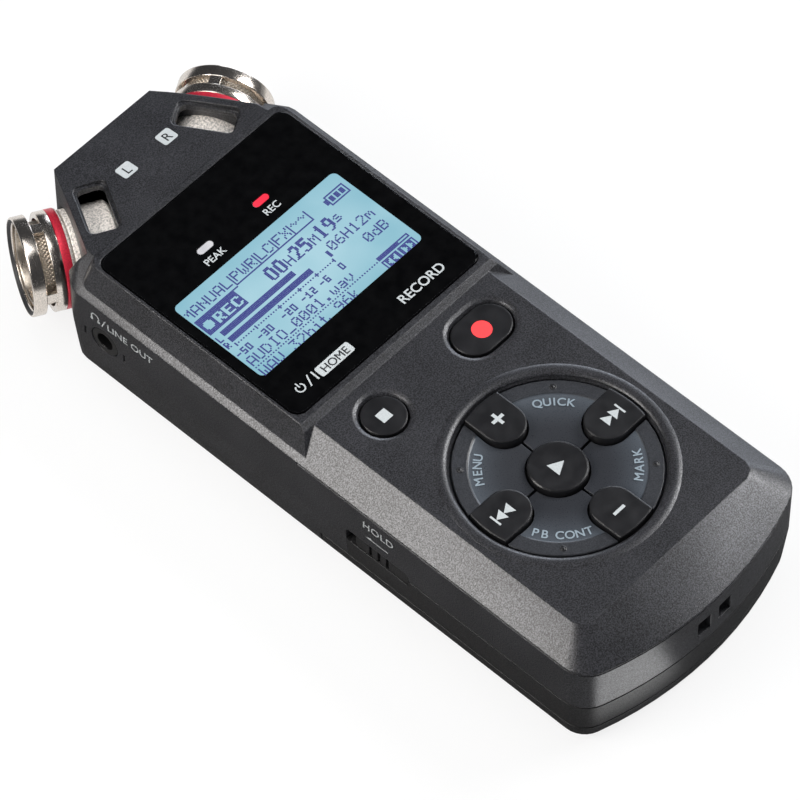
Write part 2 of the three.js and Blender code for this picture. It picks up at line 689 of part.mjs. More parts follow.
// The grooved slider; its flange inside the wall keeps it in and covers the opening.
function holdSlider() {
  const half = CASE_WIDTH / 2;
  const low = HOLD_LOW_Y + 0.3;
  const high = HOLD_HIGH_Y - HOLD_TRAVEL - 0.2;
  const middle = (low + high) / 2;
  const reach = HOLD_HALF_HEIGHT - 0.3;
  const face = -half + 0.25;
  const inside = -half + WALL + 0.7;
  const outline = roundedRect(SPLIT_Z - reach, SPLIT_Z + reach, low, high, HOLD_CORNER - 0.2);
  const cap = at(slab(outline, 0, inside - face, 3).rotateY(-Math.PI / 2), inside, 0);
  const flange = block(
    -half + WALL + 0.5,
    -half + WALL + 1,
    low - 2,
    high + 3.6,
    SPLIT_Z - reach - 1,
    SPLIT_Z + reach + 1,
  );
  const grooves = [-1.9, 0, 1.9].map((offset) => {
    const y = middle + 0.7 + offset;
    return block(-half - 1, face + 0.45, y - 0.35, y + 0.35, SPLIT_Z - 2, SPLIT_Z + 2);
  });
  return shapeOf(cut(join(cap, flange), ...grooves));
}

function holdSwitch() {
  const x = -CASE_WIDTH / 2 + WALL + 1.2;
  return block(x, x + 4.2, -25, -14, 7.4, 14.2);
}

// ---------------------------------------------------------------- electronics and power

function mainBoard() {
  return slab(roundedRect(-23.5, 23.5, -61, 49.3, 3), BOARD_LOW_Z, BOARD_HIGH_Z, 3);
}

// A 3.5 mm jack: round collar at the case wall, square body behind, one blind bore.
function jack() {
  const collar = rod(JACK_COLLAR_RADIUS, -2.4, -0.1, 24);
  const body = block(-3.3, 3.3, -3, 3, -12, -1.95);
  return shapeOf(cut(join(collar, body), rod(JACK_BORE_RADIUS, -11, 1, 20)));
}

function headphoneJack() {
  return at(jack().rotateZ(Math.PI / 2).rotateY(-Math.PI / 2), -CASE_WIDTH / 2, HEADPHONE_Y, JACK_Z);
}

function inputJack() {
  return at(jack().rotateX(-Math.PI / 2), 0, CASE_LENGTH / 2, JACK_Z);
}

function usbSocket() {
  const shell = cut(
    solid(slab(obround(3, 1.6), -8.5, -0.6, 8)),
    slab(obround(2.9, 1.3), -7.5, 1, 8),
  );
  const tongue = solid(block(-3.1, 3.1, -0.35, 0.35, -8, -2.2));
  const geometry = shapeOf(shell.add(tongue));
  return at(geometry.rotateX(Math.PI / 2).rotateZ(Math.PI / 2), CASE_WIDTH / 2, USB_Y, CARD_Z + 1);
}

function cardSocket() {
  const body = solid(block(8, 23.9, CARD_Y - 7, CARD_Y + 7, CARD_Z - 1.3, CARD_Z + 1.3));
  return shapeOf(cut(body, block(9.2, 25, CARD_Y - 5.65, CARD_Y + 5.65, CARD_Z - 0.65, CARD_Z + 0.65)));
}

// A memory card with its narrower contact end inwards.
function memoryCard() {
  const inner = 10.2;
  const outer = inner + 15;
  const step = inner + 5;
  const half = 5.5;
  const plan = new THREE.Shape();
  plan.moveTo(inner, CARD_Y - half);
  plan.lineTo(outer, CARD_Y - half);
  plan.lineTo(outer, CARD_Y + half);
  plan.lineTo(step + 1.3, CARD_Y + half);
  plan.lineTo(step, CARD_Y + half - 1.1);
  plan.lineTo(inner, CARD_Y + half - 1.1);
  plan.closePath();
  return slab(plan, CARD_Z - 0.45, CARD_Z + 0.45);
}

// The card door: the piece of side wall that its opening leaves out, with a finger notch at its top.
function cardFlap() {
  const inside = CASE_WIDTH / 2 - 1.4;
  const door = solid(caseEnvelope()).intersect(
    solid(block(inside, FAR, CARD_Y - FLAP_HALF, CARD_Y + FLAP_HALF, FLAP_LOW_Z, FLAP_HIGH_Z)),
  );
  const notch = block(inside + 0.9, FAR, CARD_Y - 2, CARD_Y + 2, FLAP_HIGH_Z - 0.8, FAR);
  return shapeOf(cut(door, notch));
}

function speaker() {
  const basket = 8;
  const magnet = 6;
  const profile = [[0, 1.9], [basket, 1.9], [basket, 3.4], [magnet, 3.4], [magnet, 6], [0, 6]];
  return at(turned(profile, 20), 0, SPEAKER_Y);
}

function tripodInsert() {
  const low = 0.2;
  const bottom = 6.2;
  const high = 7.4;
  const profile = [
    [TRIPOD_BORE_RADIUS, low],
    [TRIPOD_BUSH_RADIUS, low],
    [TRIPOD_BUSH_RADIUS, high],
    [0, high],
    [0, bottom],
    [TRIPOD_BORE_RADIUS, bottom],
    [TRIPOD_BORE_RADIUS, low],
  ];
  return at(turned(profile, 20), 0, TRIPOD_Y);
}

// side picks the battery; the right one points its terminal up the case, the left one down.
function battery(side) {
  const half = BATTERY_LENGTH / 2;
  const rim = BATTERY_RADIUS - 0.65;
  const nub = 2.7;
  const shoulder = half - 1.2;
  const profile = [
    [0, -half],
    [rim, -half],
    [BATTERY_RADIUS, -half + 0.5],
    [BATTERY_RADIUS, shoulder - 0.5],
    [rim, shoulder],
    [nub, shoulder],
    [nub, half],
    [0, half],
  ];
  const can = turned(profile, 16);
  const turn = side > 0 ? -Math.PI / 2 : Math.PI / 2;
  return at(can.rotateX(turn), side * BATTERY_X, batteryMiddle(side), BATTERY_Z);
}

function batteryMiddle(side) {
  const plateRoom = 0.75;
  const half = BATTERY_LENGTH / 2;
  return side > 0 ? BAY_HIGH_Y - plateRoom - half : BAY_LOW_Y + plateRoom + half;
}

class CoilCurve extends THREE.Curve {
  constructor(start, end, turns) {
    super();
    this.start = start;
    this.end = end;
    this.turns = turns;
  }
  getPoint(t) {
    const angle = t * this.turns * 2 * Math.PI;
    const radius = 4 - 1.9 * t;
    const y = this.start + (this.end - this.start) * t;
    return new THREE.Vector3(radius * Math.cos(angle), y, radius * Math.sin(angle));
  }
}

// A conical coil that presses on the flat end of a battery.
function batterySpring(side) {
  const wire = new THREE.Shape().absarc(0, 0, 0.3, 0, 2 * Math.PI);
  const inward = side > 0 ? 1 : -1;
  const wallY = side > 0 ? BAY_LOW_Y : BAY_HIGH_Y;
  const flatEnd = batteryMiddle(side) - (inward * BATTERY_LENGTH) / 2;
  const path = new CoilCurve(wallY + inward * 0.45, flatEnd - inward * 0.45, 2.5);
  const coil = new THREE.ExtrudeGeometry(wire, { steps: 30, curveSegments: 2, extrudePath: path });
  return at(coil, side * BATTERY_X, 0, BATTERY_Z);
}

function batteryContact(side) {
  const y = side > 0 ? BAY_HIGH_Y - 0.1 : BAY_LOW_Y + 0.1;
  const plate = block(-4, 4, -0.2, 0.2, -4, 4);
  return at(plate, side * BATTERY_X, side > 0 ? y - 0.2 : y + 0.2, BATTERY_Z);
}

function screw(side, y, headLow) {
  const profile = [
    [0, headLow],
    [1.5, headLow],
    [1.9, headLow + 0.4],
    [1.9, headLow + 1],
    [0.9, headLow + 1],
    [0.9, headLow + 6.6],
    [0, headLow + 7.2],
  ];
  const slot = block(-1.1, 1.1, -0.25, 0.25, headLow - 1, headLow + 0.6);
  const crossSlot = slot.clone().rotateZ(Math.PI / 2);
  return at(shapeOf(cut(solid(turned(profile, 10)), slot, crossSlot)), side * BOSS_X, y);
}

// ---------------------------------------------------------------- microphones

// Two nickel rings held apart by four pillars, standing clear of the capsule inside.
function micGuard(side) {
  const inner = MIC_RADIUS - 1.2;
  const front = turned(
    [
      [inner, GUARD_FRONT_END],
      [MIC_RADIUS, GUARD_FRONT_END],
      [MIC_RADIUS, -0.4],
      [MIC_RADIUS - 0.35, 0],
      [MIC_RADIUS - 0.9, 0],
      [inner, -0.8],
      [inner, GUARD_FRONT_END],
    ],
    MIC_SEGMENTS,
  );
  const back = ring(MIC_RADIUS, inner, GUARD_END, GUARD_REAR_START, MIC_SEGMENTS);
  const pillars = [0, 1, 2, 3].map((quarter) => {
    const angle = THREE.MathUtils.degToRad(6 + 90 * quarter);
    const low = GUARD_REAR_START - 0.4;
    const high = GUARD_FRONT_END + 0.4;
    const pillar = at(block(-0.45, 0.45, -1.1, 1.1, low, high), MIC_RADIUS - 0.55, 0);
    return pillar.rotateZ(Math.PI - side * angle);
  });
  return ontoMic(shapeOf(join(front, back, ...pillars)), side);
}

function micBand(side) {
  return ontoMic(ring(MIC_RADIUS, MIC_RADIUS - 1.4, BAND_END, BAND_START, MIC_SEGMENTS), side);
}

// The knurled cup round the capsule, seen through the windows of the guard.
function micCup(side) {
  const outer = MIC_RADIUS - 1.5;
  const profile = [
    [outer - 0.7, -4.8],
    [0, -4.8],
    [0, -6],
    [outer, -6],
    [outer, -1],
    [outer - 0.7, -1],
    [outer - 0.7, -4.8],
  ];
  return ontoMic(turned(profile, 24), side);
}

function micCapsule(side) {
  return ontoMic(rod(MIC_RADIUS - 2.5, -4.7, -3, 20), side);
}

// The body behind the guard: a thin flange, a shadow groove, then the barrel that runs into the head.
function micBody(side) {
  const profile = [
    [0, MIC_BODY_END],
    [MIC_BODY_RADIUS - 0.5, MIC_BODY_END],
    [MIC_BODY_RADIUS, MIC_BODY_END + 0.5],
    [MIC_BODY_RADIUS, BARREL_START],
    [MIC_BODY_RADIUS - 0.9, BARREL_START],
    [MIC_BODY_RADIUS - 0.9, FLANGE_END],
    [MIC_RADIUS - 0.15, FLANGE_END],
    [MIC_RADIUS - 0.15, BAND_END - 0.05],
    [MIC_RADIUS - 1.75, BAND_END - 0.05],
    [MIC_RADIUS - 1.75, BAND_START],
    [0, BAND_START],
  ];
  return ontoMic(turned(profile, MIC_SEGMENTS), side);
}

// ---------------------------------------------------------------- materials

function material(color, roughness, metalness) {
  return new THREE.MeshStandardMaterial({ color, roughness, metalness });
}

const finishes = {
  casePaint: () => material(0x3a3a3e, 0.45, 0.25),
  blackPlastic: () => material(0x141416, 0.5, 0),
  glass: () => material(0x050506, 0.05, 0),
  keyPlastic: () => material(0x232329, 0.3, 0.1),
  quadrantPlastic: () => material(0x3a3f47, 0.3, 0.15),
  rubber: () => material(0x2a2a2c, 0.85, 0),
  nickel: () => material(0xb9b1aa, 0.28, 1),
  redRing: () => material(0xb02a3c, 0.35, 0.4),
  whiteLamp: () => material(0xf2f2f0, 0.3, 0),
  redLamp: () => material(0xff3b4c, 0.3, 0),
  lcd: () => material(0xaad7e1, 0.4, 0),
  board: () => material(0x14532d, 0.5, 0),
  steel: () => material(0xa8a8a8, 0.35, 1),
  brass: () => material(0xb08d57, 0.35, 1),
  batteryWrap: () => material(0x2f4f6f, 0.4, 0.1),
};

// ---------------------------------------------------------------- assembly

const recorder = new THREE.Group();

function place(parent, name, geometry, finish) {
  const mesh = new THREE.Mesh(geometry, finishes[finish]());
  mesh.name = name;
  parent.add(mesh);
  return mesh;
}

const housing = new THREE.Group();
place(housing, "front_case", frontCase(), "casePaint");
place(housing, "rear_case", rearCase(), "blackPlastic");
place(housing, "battery_cover", batteryCover(), "blackPlastic");
place(housing, "tripod_insert", tripodInsert(), "brass");
place(housing, "card_flap", cardFlap(), "casePaint");
for (const [sideName, side] of [["left", -1], ["right", 1]]) {
  place(housing, `upper_screw_${sideName}`, screw(side, UPPER_BOSS_Y, 0.3), "steel");
  place(housing, `lower_screw_${sideName}`, screw(side, LOWER_BOSS_Y, BAY_FLOOR_Z + 0.2), "steel");
}
recorder.add(housing);

const display = new THREE.Group();
place(display, "display_glass", displayGlass(), "glass");
place(display, "lcd_module", lcdModule(), "lcd");
place(display, "peak_lamp", lamp(-1), "whiteLamp");
place(display, "record_lamp", lamp(1), "redLamp");
recorder.add(display);

const keys = new THREE.Group();
place(keys, "stop_button", at(topKey(0), -TOP_KEY_X, TOP_KEY_Y), "keyPlastic");
place(keys, "record_button", at(topKey(RECORD_HALF_STRAIGHT), TOP_KEY_X, TOP_KEY_Y), "keyPlastic");
place(keys, "play_button", playButton(), "keyPlastic");
for (const [quarter, name] of ["forward_key", "plus_key", "rewind_key", "minus_key"].entries()) {
  place(keys, name, tongueKey(quarter), "keyPlastic");
}
for (const [quarter, name] of ["quick_key", "menu_key", "playback_key", "mark_key"].entries()) {
  place(keys, name, quadrantKey(quarter), "quadrantPlastic");
}
place(keys, "key_mat", keyMat(), "rubber");
place(keys, "hold_slider", holdSlider(), "blackPlastic");
place(keys, "hold_switch", holdSwitch(), "steel");
recorder.add(keys);

const electronics = new THREE.Group();
place(electronics, "main_board", mainBoard(), "board");
place(electronics, "headphone_jack", headphoneJack(), "blackPlastic");
place(electronics, "input_jack", inputJack(), "blackPlastic");
place(electronics, "usb_socket", usbSocket(), "steel");
place(electronics, "card_socket", cardSocket(), "steel");
place(electronics, "memory_card", memoryCard(), "blackPlastic");
place(electronics, "speaker", speaker(), "blackPlastic");
for (const [sideName, side] of [["left", -1], ["right", 1]]) {
  place(electronics, `battery_${sideName}`, battery(side), "batteryWrap");
  place(electronics, `battery_spring_${sideName}`, batterySpring(side), "steel");
  place(electronics, `battery_contact_${sideName}`, batteryContact(side), "steel");
}
recorder.add(electronics);

for (const [sideName, side] of [["left", -1], ["right", 1]]) {
  const microphone = new THREE.Group();
  place(microphone, `mic_guard_${sideName}`, micGuard(side), "nickel");
  place(microphone, `mic_band_${sideName}`, micBand(side), "redRing");
  place(microphone, `mic_cup_${sideName}`, micCup(side), "nickel");
  place(microphone, `mic_capsule_${sideName}`, micCapsule(side), "blackPlastic");
  place(microphone, `mic_body_${sideName}`, micBody(side), "nickel");
  recorder.add(microphone);
}

export default recorder;
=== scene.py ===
"""Looks of the handheld field recorder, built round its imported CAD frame. Metres, +Z out of the display."""

import json
import math

import bmesh
import bpy
from mathutils import Matrix, Vector

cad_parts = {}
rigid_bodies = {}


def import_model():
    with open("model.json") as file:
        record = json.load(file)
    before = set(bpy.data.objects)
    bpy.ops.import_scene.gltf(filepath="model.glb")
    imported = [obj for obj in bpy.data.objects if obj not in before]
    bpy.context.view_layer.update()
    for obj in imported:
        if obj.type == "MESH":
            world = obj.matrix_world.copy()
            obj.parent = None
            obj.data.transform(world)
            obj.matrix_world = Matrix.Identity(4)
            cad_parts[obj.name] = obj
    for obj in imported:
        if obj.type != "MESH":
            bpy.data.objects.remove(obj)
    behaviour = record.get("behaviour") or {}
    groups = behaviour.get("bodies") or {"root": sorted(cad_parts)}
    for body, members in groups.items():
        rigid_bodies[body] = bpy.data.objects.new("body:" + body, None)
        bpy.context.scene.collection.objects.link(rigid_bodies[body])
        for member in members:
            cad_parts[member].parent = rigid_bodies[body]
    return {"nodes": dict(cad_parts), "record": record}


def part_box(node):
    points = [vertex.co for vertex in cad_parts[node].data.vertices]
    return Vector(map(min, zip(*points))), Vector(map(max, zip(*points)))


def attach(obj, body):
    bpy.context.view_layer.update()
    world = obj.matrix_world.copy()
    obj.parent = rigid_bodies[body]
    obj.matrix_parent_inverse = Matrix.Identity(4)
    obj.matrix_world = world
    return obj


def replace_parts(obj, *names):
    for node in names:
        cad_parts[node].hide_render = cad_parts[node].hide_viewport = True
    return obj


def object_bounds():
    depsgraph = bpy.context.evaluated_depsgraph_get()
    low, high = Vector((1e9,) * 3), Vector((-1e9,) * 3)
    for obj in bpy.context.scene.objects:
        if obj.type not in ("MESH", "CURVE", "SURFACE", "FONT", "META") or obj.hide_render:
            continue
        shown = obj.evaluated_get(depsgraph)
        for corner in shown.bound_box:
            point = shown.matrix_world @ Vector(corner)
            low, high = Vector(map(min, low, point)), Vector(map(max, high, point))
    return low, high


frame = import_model()
cad_low, cad_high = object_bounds()
NODES = frame["nodes"]
MM = 0.001

# ---------------------------------------------------------------- dimensions in millimetres, as in the CAD

DIAL_Y = -35.8
DIAL_RADIUS = 17.75
GLASS_Z = 26.0
PANEL_Z = 25.05
TOP_KEY_X = 12.1
TOP_KEY_Y = -7.7
CASE_HALF_WIDTH = 27.0
DIAL_KEY_Z = 24.4
BUTTON_Z = 24.7  # top of the play, stop and record keys
RAISED_KEY_Z = 25.2
DISH_RADIUS = 14.8  # inside this radius a quadrant key's top slopes down to the play key
DISH_STEP = 0.25  # its drop below the key's rim where the slope starts
DISH_DEPTH = 0.75  # how much further it falls
DISH_RUN = 9.25  # over this distance
GLASS_CORNER = 2.2
MIC_CENTRE = (25.7, 65.25, 12.8)
MIC_AZIMUTH = math.radians(29)
MIC_LIFT = math.radians(2.3)
MIC_RADIUS = 8.85
MIC_BODY_RADIUS = 8.3
TEXT_LIFT = 0.006  # how far printed marks stand off the surface they are printed on
COPY_STEP = 0.0012  # between the layers of a thickened letter
LEVEL_LIFT = 0.14  # level letters clear the sloping top of a quadrant key by this much
CAPITAL_SHARE = 0.729  # a capital's height as a share of the typeface's size
WELD_MM = 0.002
LABEL_HEIGHT = 1.6  # of the words on the quadrant keys
LABEL_RADIUS = 13.45  # from the dial's centre
PIP_RADIUS = 16.3
SYMBOL_RADIUS = 13.5

# ---------------------------------------------------------------- materials


class Nodes:
    """A short way to write a material's node tree."""

    def __init__(self, name):
        self.material = bpy.data.materials.new(name)
        self.material.use_nodes = True
        self.tree = self.material.node_tree
        self.shader = self.tree.nodes["Principled BSDF"]
        self.object_space = self.add("ShaderNodeTexCoord").outputs["Object"]

    def add(self, kind, inputs=None, **settings):
        node = self.tree.nodes.new(kind)
        for key, value in settings.items():
            setattr(node, key, value)
        for key, value in (inputs or {}).items():
            self.put(value, node.inputs[key])
        return node

    def put(self, value, socket):
        if isinstance(value, bpy.types.NodeSocket):
            self.tree.links.new(value, socket)
        elif isinstance(value, (tuple, list)) and len(value) == 3 and socket.type == "RGBA":
            socket.default_value = (*value, 1)
        else:
            socket.default_value = value

    def set(self, **inputs):
        for key, value in inputs.items():
            self.put(value, self.shader.inputs[key.replace("_", " ")])

    def noise(self, size_mm, detail=2.0, vector=None):
        inputs = {"Vector": vector or self.object_space, "Scale": 1 / (size_mm * MM), "Detail": detail}
        return self.add("ShaderNodeTexNoise", inputs).outputs["Fac"]

    def math(self, operation, a, b=0.0, c=0.0):
        node = self.add("ShaderNodeMath", operation=operation)
        for socket, value in zip(node.inputs, (a, b, c)):
            self.put(value, socket)
        return node.outputs[0]

    def span(self, value, low, high, to_low=0.0, to_high=1.0):
        inputs = {0: value, 1: low, 2: high, 3: to_low, 4: to_high}
        return self.add("ShaderNodeMapRange", inputs).outputs[0]

    def mix(self, factor, a, b):
        node = self.add("ShaderNodeMix", data_type="RGBA")
        self.put(factor, node.inputs[0])
        self.put(a, node.inputs[6])
        self.put(b, node.inputs[7])
        return node.outputs[2]

    def bump(self, height, depth_mm, edge_mm=0.0):
        inputs = {"Height": height, "Strength": 1.0, "Distance": depth_mm * MM}
        if edge_mm:
            inputs["Normal"] = self.edge(edge_mm)
        return self.add("ShaderNodeBump", inputs).outputs["Normal"]

    def edge(self, radius_mm):
        return self.add("ShaderNodeBevel", {"Radius": radius_mm * MM}, samples=6).outputs["Normal"]


def speckled(name, dark, light, roughness, grain_mm, depth_mm, edge_mm, level=0.5, metallic=0.0):
    """Satin moulded or painted surface: a fine grain in colour, roughness and height, and a slow drift."""
    n = Nodes(name)
    grain = n.noise(grain_mm, 3.0)
    drift = n.noise(9.0, 2.0)
    tone = n.math("ADD", n.span(grain, 0.38, 0.66, 0, 0.86), n.span(drift, 0.35, 0.65, 0, 0.14))
    n.set(
        Base_Color=n.mix(tone, dark, light),
        Roughness=n.span(grain, 0.35, 0.7, roughness + 0.06, roughness - 0.05),
        Metallic=metallic,
        Specular_IOR_Level=level,
        Normal=n.bump(grain, depth_mm, edge_mm),
    )
    return n.material


def glossy(name, colour, roughness, edge_mm, coat=0.0, marks=0.09):
    """Smooth moulded surface with slight unevenness and a trace of handling marks."""
    n = Nodes(name)
    smear = n.noise(2.6, 4.0)
    fine = n.noise(0.35, 2.0)
    lighter = tuple(min(1.0, v * 1.35 + 0.002) for v in colour)
    n.set(
        Base_Color=n.mix(n.span(smear, 0.35, 0.7), colour, lighter),
        Roughness=n.span(smear, 0.3, 0.72, roughness, roughness + marks),
        Coat_Weight=coat,
        Coat_Roughness=0.08,
        Normal=n.bump(fine, 0.004, edge_mm),
    )
    return n.material


def metal(name, colour, roughness, grain_mm=0.2, depth_mm=0.006, edge_mm=0.12, metallic=1.0, dark=0.72):
    """Plated metal with a fine satin grain that breaks up its reflections."""
    n = Nodes(name)
    grain = n.noise(grain_mm, 3.0)
    cloud = n.noise(3.2, 2.0)
    darker = tuple(v * dark for v in colour)
    base = n.mix(n.span(grain, 0.36, 0.6), darker, colour)
    fine = n.span(grain, 0.3, 0.7, 0.08, -0.06)
    broad = n.span(cloud, 0.3, 0.7, roughness - 0.04, roughness + 0.05)
    n.set(
        Base_Color=base,
        Metallic=metallic,
        Roughness=n.math("ADD", fine, broad),
        Normal=n.bump(grain, depth_mm, edge_mm),
    )
    return n.material


def printed(name, colour, glow=0.0):
    """Screen-printed ink: slightly uneven in density and sheen, with an optional painted glow."""
    n = Nodes(name)
    density = n.noise(0.22, 3.0)
    darker = tuple(v * 0.86 for v in colour)
    ink = n.mix(n.span(density, 0.3, 0.6), darker, colour)
    n.set(Base_Color=ink, Roughness=n.span(density, 0.3, 0.7, 0.5, 0.62), Normal=n.bump(density, 0.003))
    # a glow is painted light: the ink shines though it is no lamp
    if glow:
        n.set(Emission_Color=ink, Emission_Strength=glow)
    return n.material


def lit(name, centre, edge, glow, size_mm=3.0):
    """A lit window or light guide, a little brighter in the clouds of its diffuser."""
    n = Nodes(name)
    cloud = n.span(n.noise(size_mm, 1.0), 0.35, 0.65)
    colour = n.mix(cloud, centre, edge)
    dim = n.mix(0.85, colour, (0.0, 0.0, 0.0))
    n.set(Base_Color=dim, Roughness=0.25, Emission_Color=colour, Emission_Strength=glow, Coat_Weight=0.4)
    return n.material


def quadrant_material():
    """Smoked key tops: a glossy inner part whose colour pales towards its outer edge as a painted reflection,
    and a darker matt rim.
    """
    n = Nodes("quadrant_plastic")
    middle = (0, DIAL_Y * MM, 0)
    offset = n.add("ShaderNodeVectorMath", {0: n.object_space, 1: middle}, operation="SUBTRACT").outputs[0]
    flat = n.add("ShaderNodeVectorMath", {0: offset, 1: (1, 1, 0)}, operation="MULTIPLY").outputs[0]
    radius = n.add("ShaderNodeVectorMath", {0: flat}, operation="LENGTH").outputs["Value"]
    # painted reflection: the smoked colour pales with distance from the dial's centre, in place of the dish's
    # reflection
    inner = n.span(radius, 8 * MM, 15 * MM)
    rim = n.span(radius, 14.9 * MM, 15.05 * MM)
    grain = n.noise(0.16, 3.0)
    smoke_and_painted_reflection = n.mix(n.math("POWER", inner, 1.6), (0.024, 0.026, 0.031), (0.062, 0.072, 0.086))
    dark = n.mix(n.span(grain, 0.4, 0.65), (0.016, 0.0175, 0.021), (0.036, 0.038, 0.044))
    n.set(
        Base_Color=n.mix(rim, smoke_and_painted_reflection, dark),
        Roughness=n.math("ADD", n.span(rim, 0, 1, 0.3, 0.4), n.span(grain, 0.35, 0.65, -0.03, 0.03)),
        Normal=n.bump(grain, 0.004, 0.12),
    )
    return n.material


def lcd_material():
    """Backlit cyan screen, paler in its middle and faintly clouded."""
    n = Nodes("lcd_lit")
    middle = (-1 * MM, 22 * MM, 0)
    offset = n.add("ShaderNodeVectorMath", {0: n.object_space, 1: middle}, operation="SUBTRACT").outputs[0]
    flat = n.add("ShaderNodeVectorMath", {0: offset, 1: (0.5, 1, 0)}, operation="MULTIPLY").outputs[0]
    radius = n.add("ShaderNodeVectorMath", {0: flat}, operation="LENGTH").outputs["Value"]
    cloud = n.noise(7.0, 1.0)
    fade = n.math("ADD", n.span(radius, 3 * MM, 15 * MM, 0, 0.8), n.span(cloud, 0.3, 0.7, -0.12, 0.2))
    colour = n.mix(fade, (0.47, 0.75, 0.85), (0.22, 0.52, 0.64))
    n.set(Base_Color=(0.02, 0.03, 0.04), Roughness=0.3, Emission_Color=colour, Emission_Strength=0.84)
    return n.material


M = {
    "case_paint": speckled(
        "case_paint", (0.004, 0.004, 0.005), (0.062, 0.063, 0.071), 0.35, 0.25, 0.028, 0.35, 0.8, 0.3
    ),
    "case_lower": speckled(
        "case_lower", (0.005, 0.005, 0.0055), (0.028, 0.028, 0.030), 0.48, 0.25, 0.02, 0.25
    ),
    "black_plastic": speckled(
        "black_plastic", (0.010, 0.010, 0.011), (0.020, 0.020, 0.022), 0.48, 0.16, 0.012, 0.2
    ),
    "display_glass": glossy("display_glass", (0.0008, 0.0008, 0.001), 0.03, 0.1, marks=0.02),
    # jack: glossy near-black plastic, its colour darkened further as painted shade in the bore
    "jack": glossy("jack", (0.002, 0.002, 0.0022), 0.3, 0.35, 0.5),
    "glass_edge": glossy("glass_edge", (0.10, 0.10, 0.11), 0.22, 0.0, 0.6),
    "key_plastic": glossy("key_plastic", (0.0065, 0.0065, 0.0075), 0.32, 0.5, 0.2),
    "quadrant_plastic": quadrant_material(),
    "nickel": metal("nickel", (0.86, 0.79, 0.72), 0.19),
    "nickel_dark": metal("nickel_dark", (0.62, 0.55, 0.47), 0.28),
    "nickel_cast": metal("nickel_cast", (1.0, 0.93, 0.86), 0.5, 0.36, 0.05, 0.2, 0.2, 0.5),
    "steel": metal("steel", (0.55, 0.55, 0.56), 0.3),
    "brass": metal("brass", (0.72, 0.53, 0.28), 0.32),
    "red_ring": metal("red_ring", (0.66, 0.03, 0.06), 0.36, 0.25, 0.003, metallic=0.45),
    "key_rubber": speckled("key_rubber", (0.014, 0.014, 0.014), (0.028, 0.028, 0.028), 0.8, 0.3, 0.02, 0.2),
    "board": speckled("board", (0.006, 0.06, 0.025), (0.012, 0.11, 0.045), 0.4, 1.3, 0.02, 0.1),
    "battery_wrap": glossy("battery_wrap", (0.02, 0.05, 0.11), 0.25, 0.3),
    "white_lamp": lit("white_lamp", (0.78, 0.77, 0.8), (0.66, 0.66, 0.7), 0.75),
    "red_lamp": lit("red_lamp", (1.0, 0.045, 0.085), (0.9, 0.035, 0.07), 0.95),
    "lcd": lcd_material(),
    "ink": printed("ink", (0.44, 0.47, 0.48)),
    "ink_blue": printed("ink_blue", (0.22, 0.27, 0.31)),
    # the red ink is given a painted glow
    "ink_red": printed("ink_red", (0.95, 0.045, 0.05), 0.25),
    # dark ink for printed marks, also laid as painted shade inside the microphone guards
    "ink_dark": printed("ink_dark", (0.012, 0.012, 0.014)),
    "dots": lit("dots", (0.052, 0.06, 0.235), (0.06, 0.068, 0.25), 1.0, 1.5),
    "grille": metal("grille", (0.16, 0.14, 0.12), 0.42, 0.3, 0.05),
}

# ---------------------------------------------------------------- CAD nodes that stay


def soften(node, angle_degrees):
    """Welds a node's triangles and smooths it across edges flatter than an angle, by modifier only."""
    mesh = node.data
    if "custom_normal" in mesh.attributes:
        mesh.attributes.remove(mesh.attributes["custom_normal"])
    for polygon in mesh.polygons:
        polygon.use_smooth = True
    node.modifiers.new("soften", "NODES").node_group = smoothing_group(angle_degrees)


def smoothing_group(angle_degrees):
    """The node group that soften() puts on every CAD node, made once for each angle."""
    name = f"soften_{angle_degrees}"
    if name in bpy.data.node_groups:
        return bpy.data.node_groups[name]
    tree = bpy.data.node_groups.new(name, "GeometryNodeTree")
    tree.interface.new_socket("Geometry", in_out="INPUT", socket_type="NodeSocketGeometry")
    tree.interface.new_socket("Geometry", in_out="OUTPUT", socket_type="NodeSocketGeometry")
    source = tree.nodes.new("NodeGroupInput")
    out = tree.nodes.new("NodeGroupOutput")
    weld = tree.nodes.new("GeometryNodeMergeByDistance")
    weld.inputs["Distance"].default_value = WELD_MM * MM
    angle = tree.nodes.new("GeometryNodeInputMeshEdgeAngle")
    compare = tree.nodes.new("FunctionNodeCompare")
    compare.data_type = "FLOAT"
    compare.operation = "LESS_THAN"
    compare.inputs[1].default_value = math.radians(angle_degrees)
    faces = tree.nodes.new("GeometryNodeSetShadeSmooth")
    faces.domain = "FACE"
    edges = tree.nodes.new("GeometryNodeSetShadeSmooth")
    edges.domain = "EDGE"
    link = tree.links.new
    link(source.outputs[0], weld.inputs["Geometry"])
    link(weld.outputs["Geometry"], faces.inputs["Geometry"])
    link(faces.outputs["Geometry"], edges.inputs["Geometry"])
    link(angle.outputs["Unsigned Angle"], compare.inputs[0])
    link(compare.outputs["Result"], edges.inputs["Shade Smooth"])
    link(edges.outputs["Geometry"], out.inputs[0])
    return tree


def finish_of(node_name):
    """The material of a CAD node, from its slot in the record."""
    for part in frame["record"]["subparts"]:
        if part["node"] == node_name:
            return M[part["material_slot"]]
    raise ValueError(node_name)


for name, node in NODES.items():
    node.data.materials.clear()
    node.data.materials.append(finish_of(name))
    soften(node, 22)
NODES["rear_case"].data.materials[0] = M["case_lower"]
NODES["battery_cover"].data.materials[0] = M["case_lower"]
NODES["hold_slider"].data.materials[0] = M["case_lower"]
NODES["headphone_jack"].data.materials[0] = M["jack"]

# ---------------------------------------------------------------- new pieces


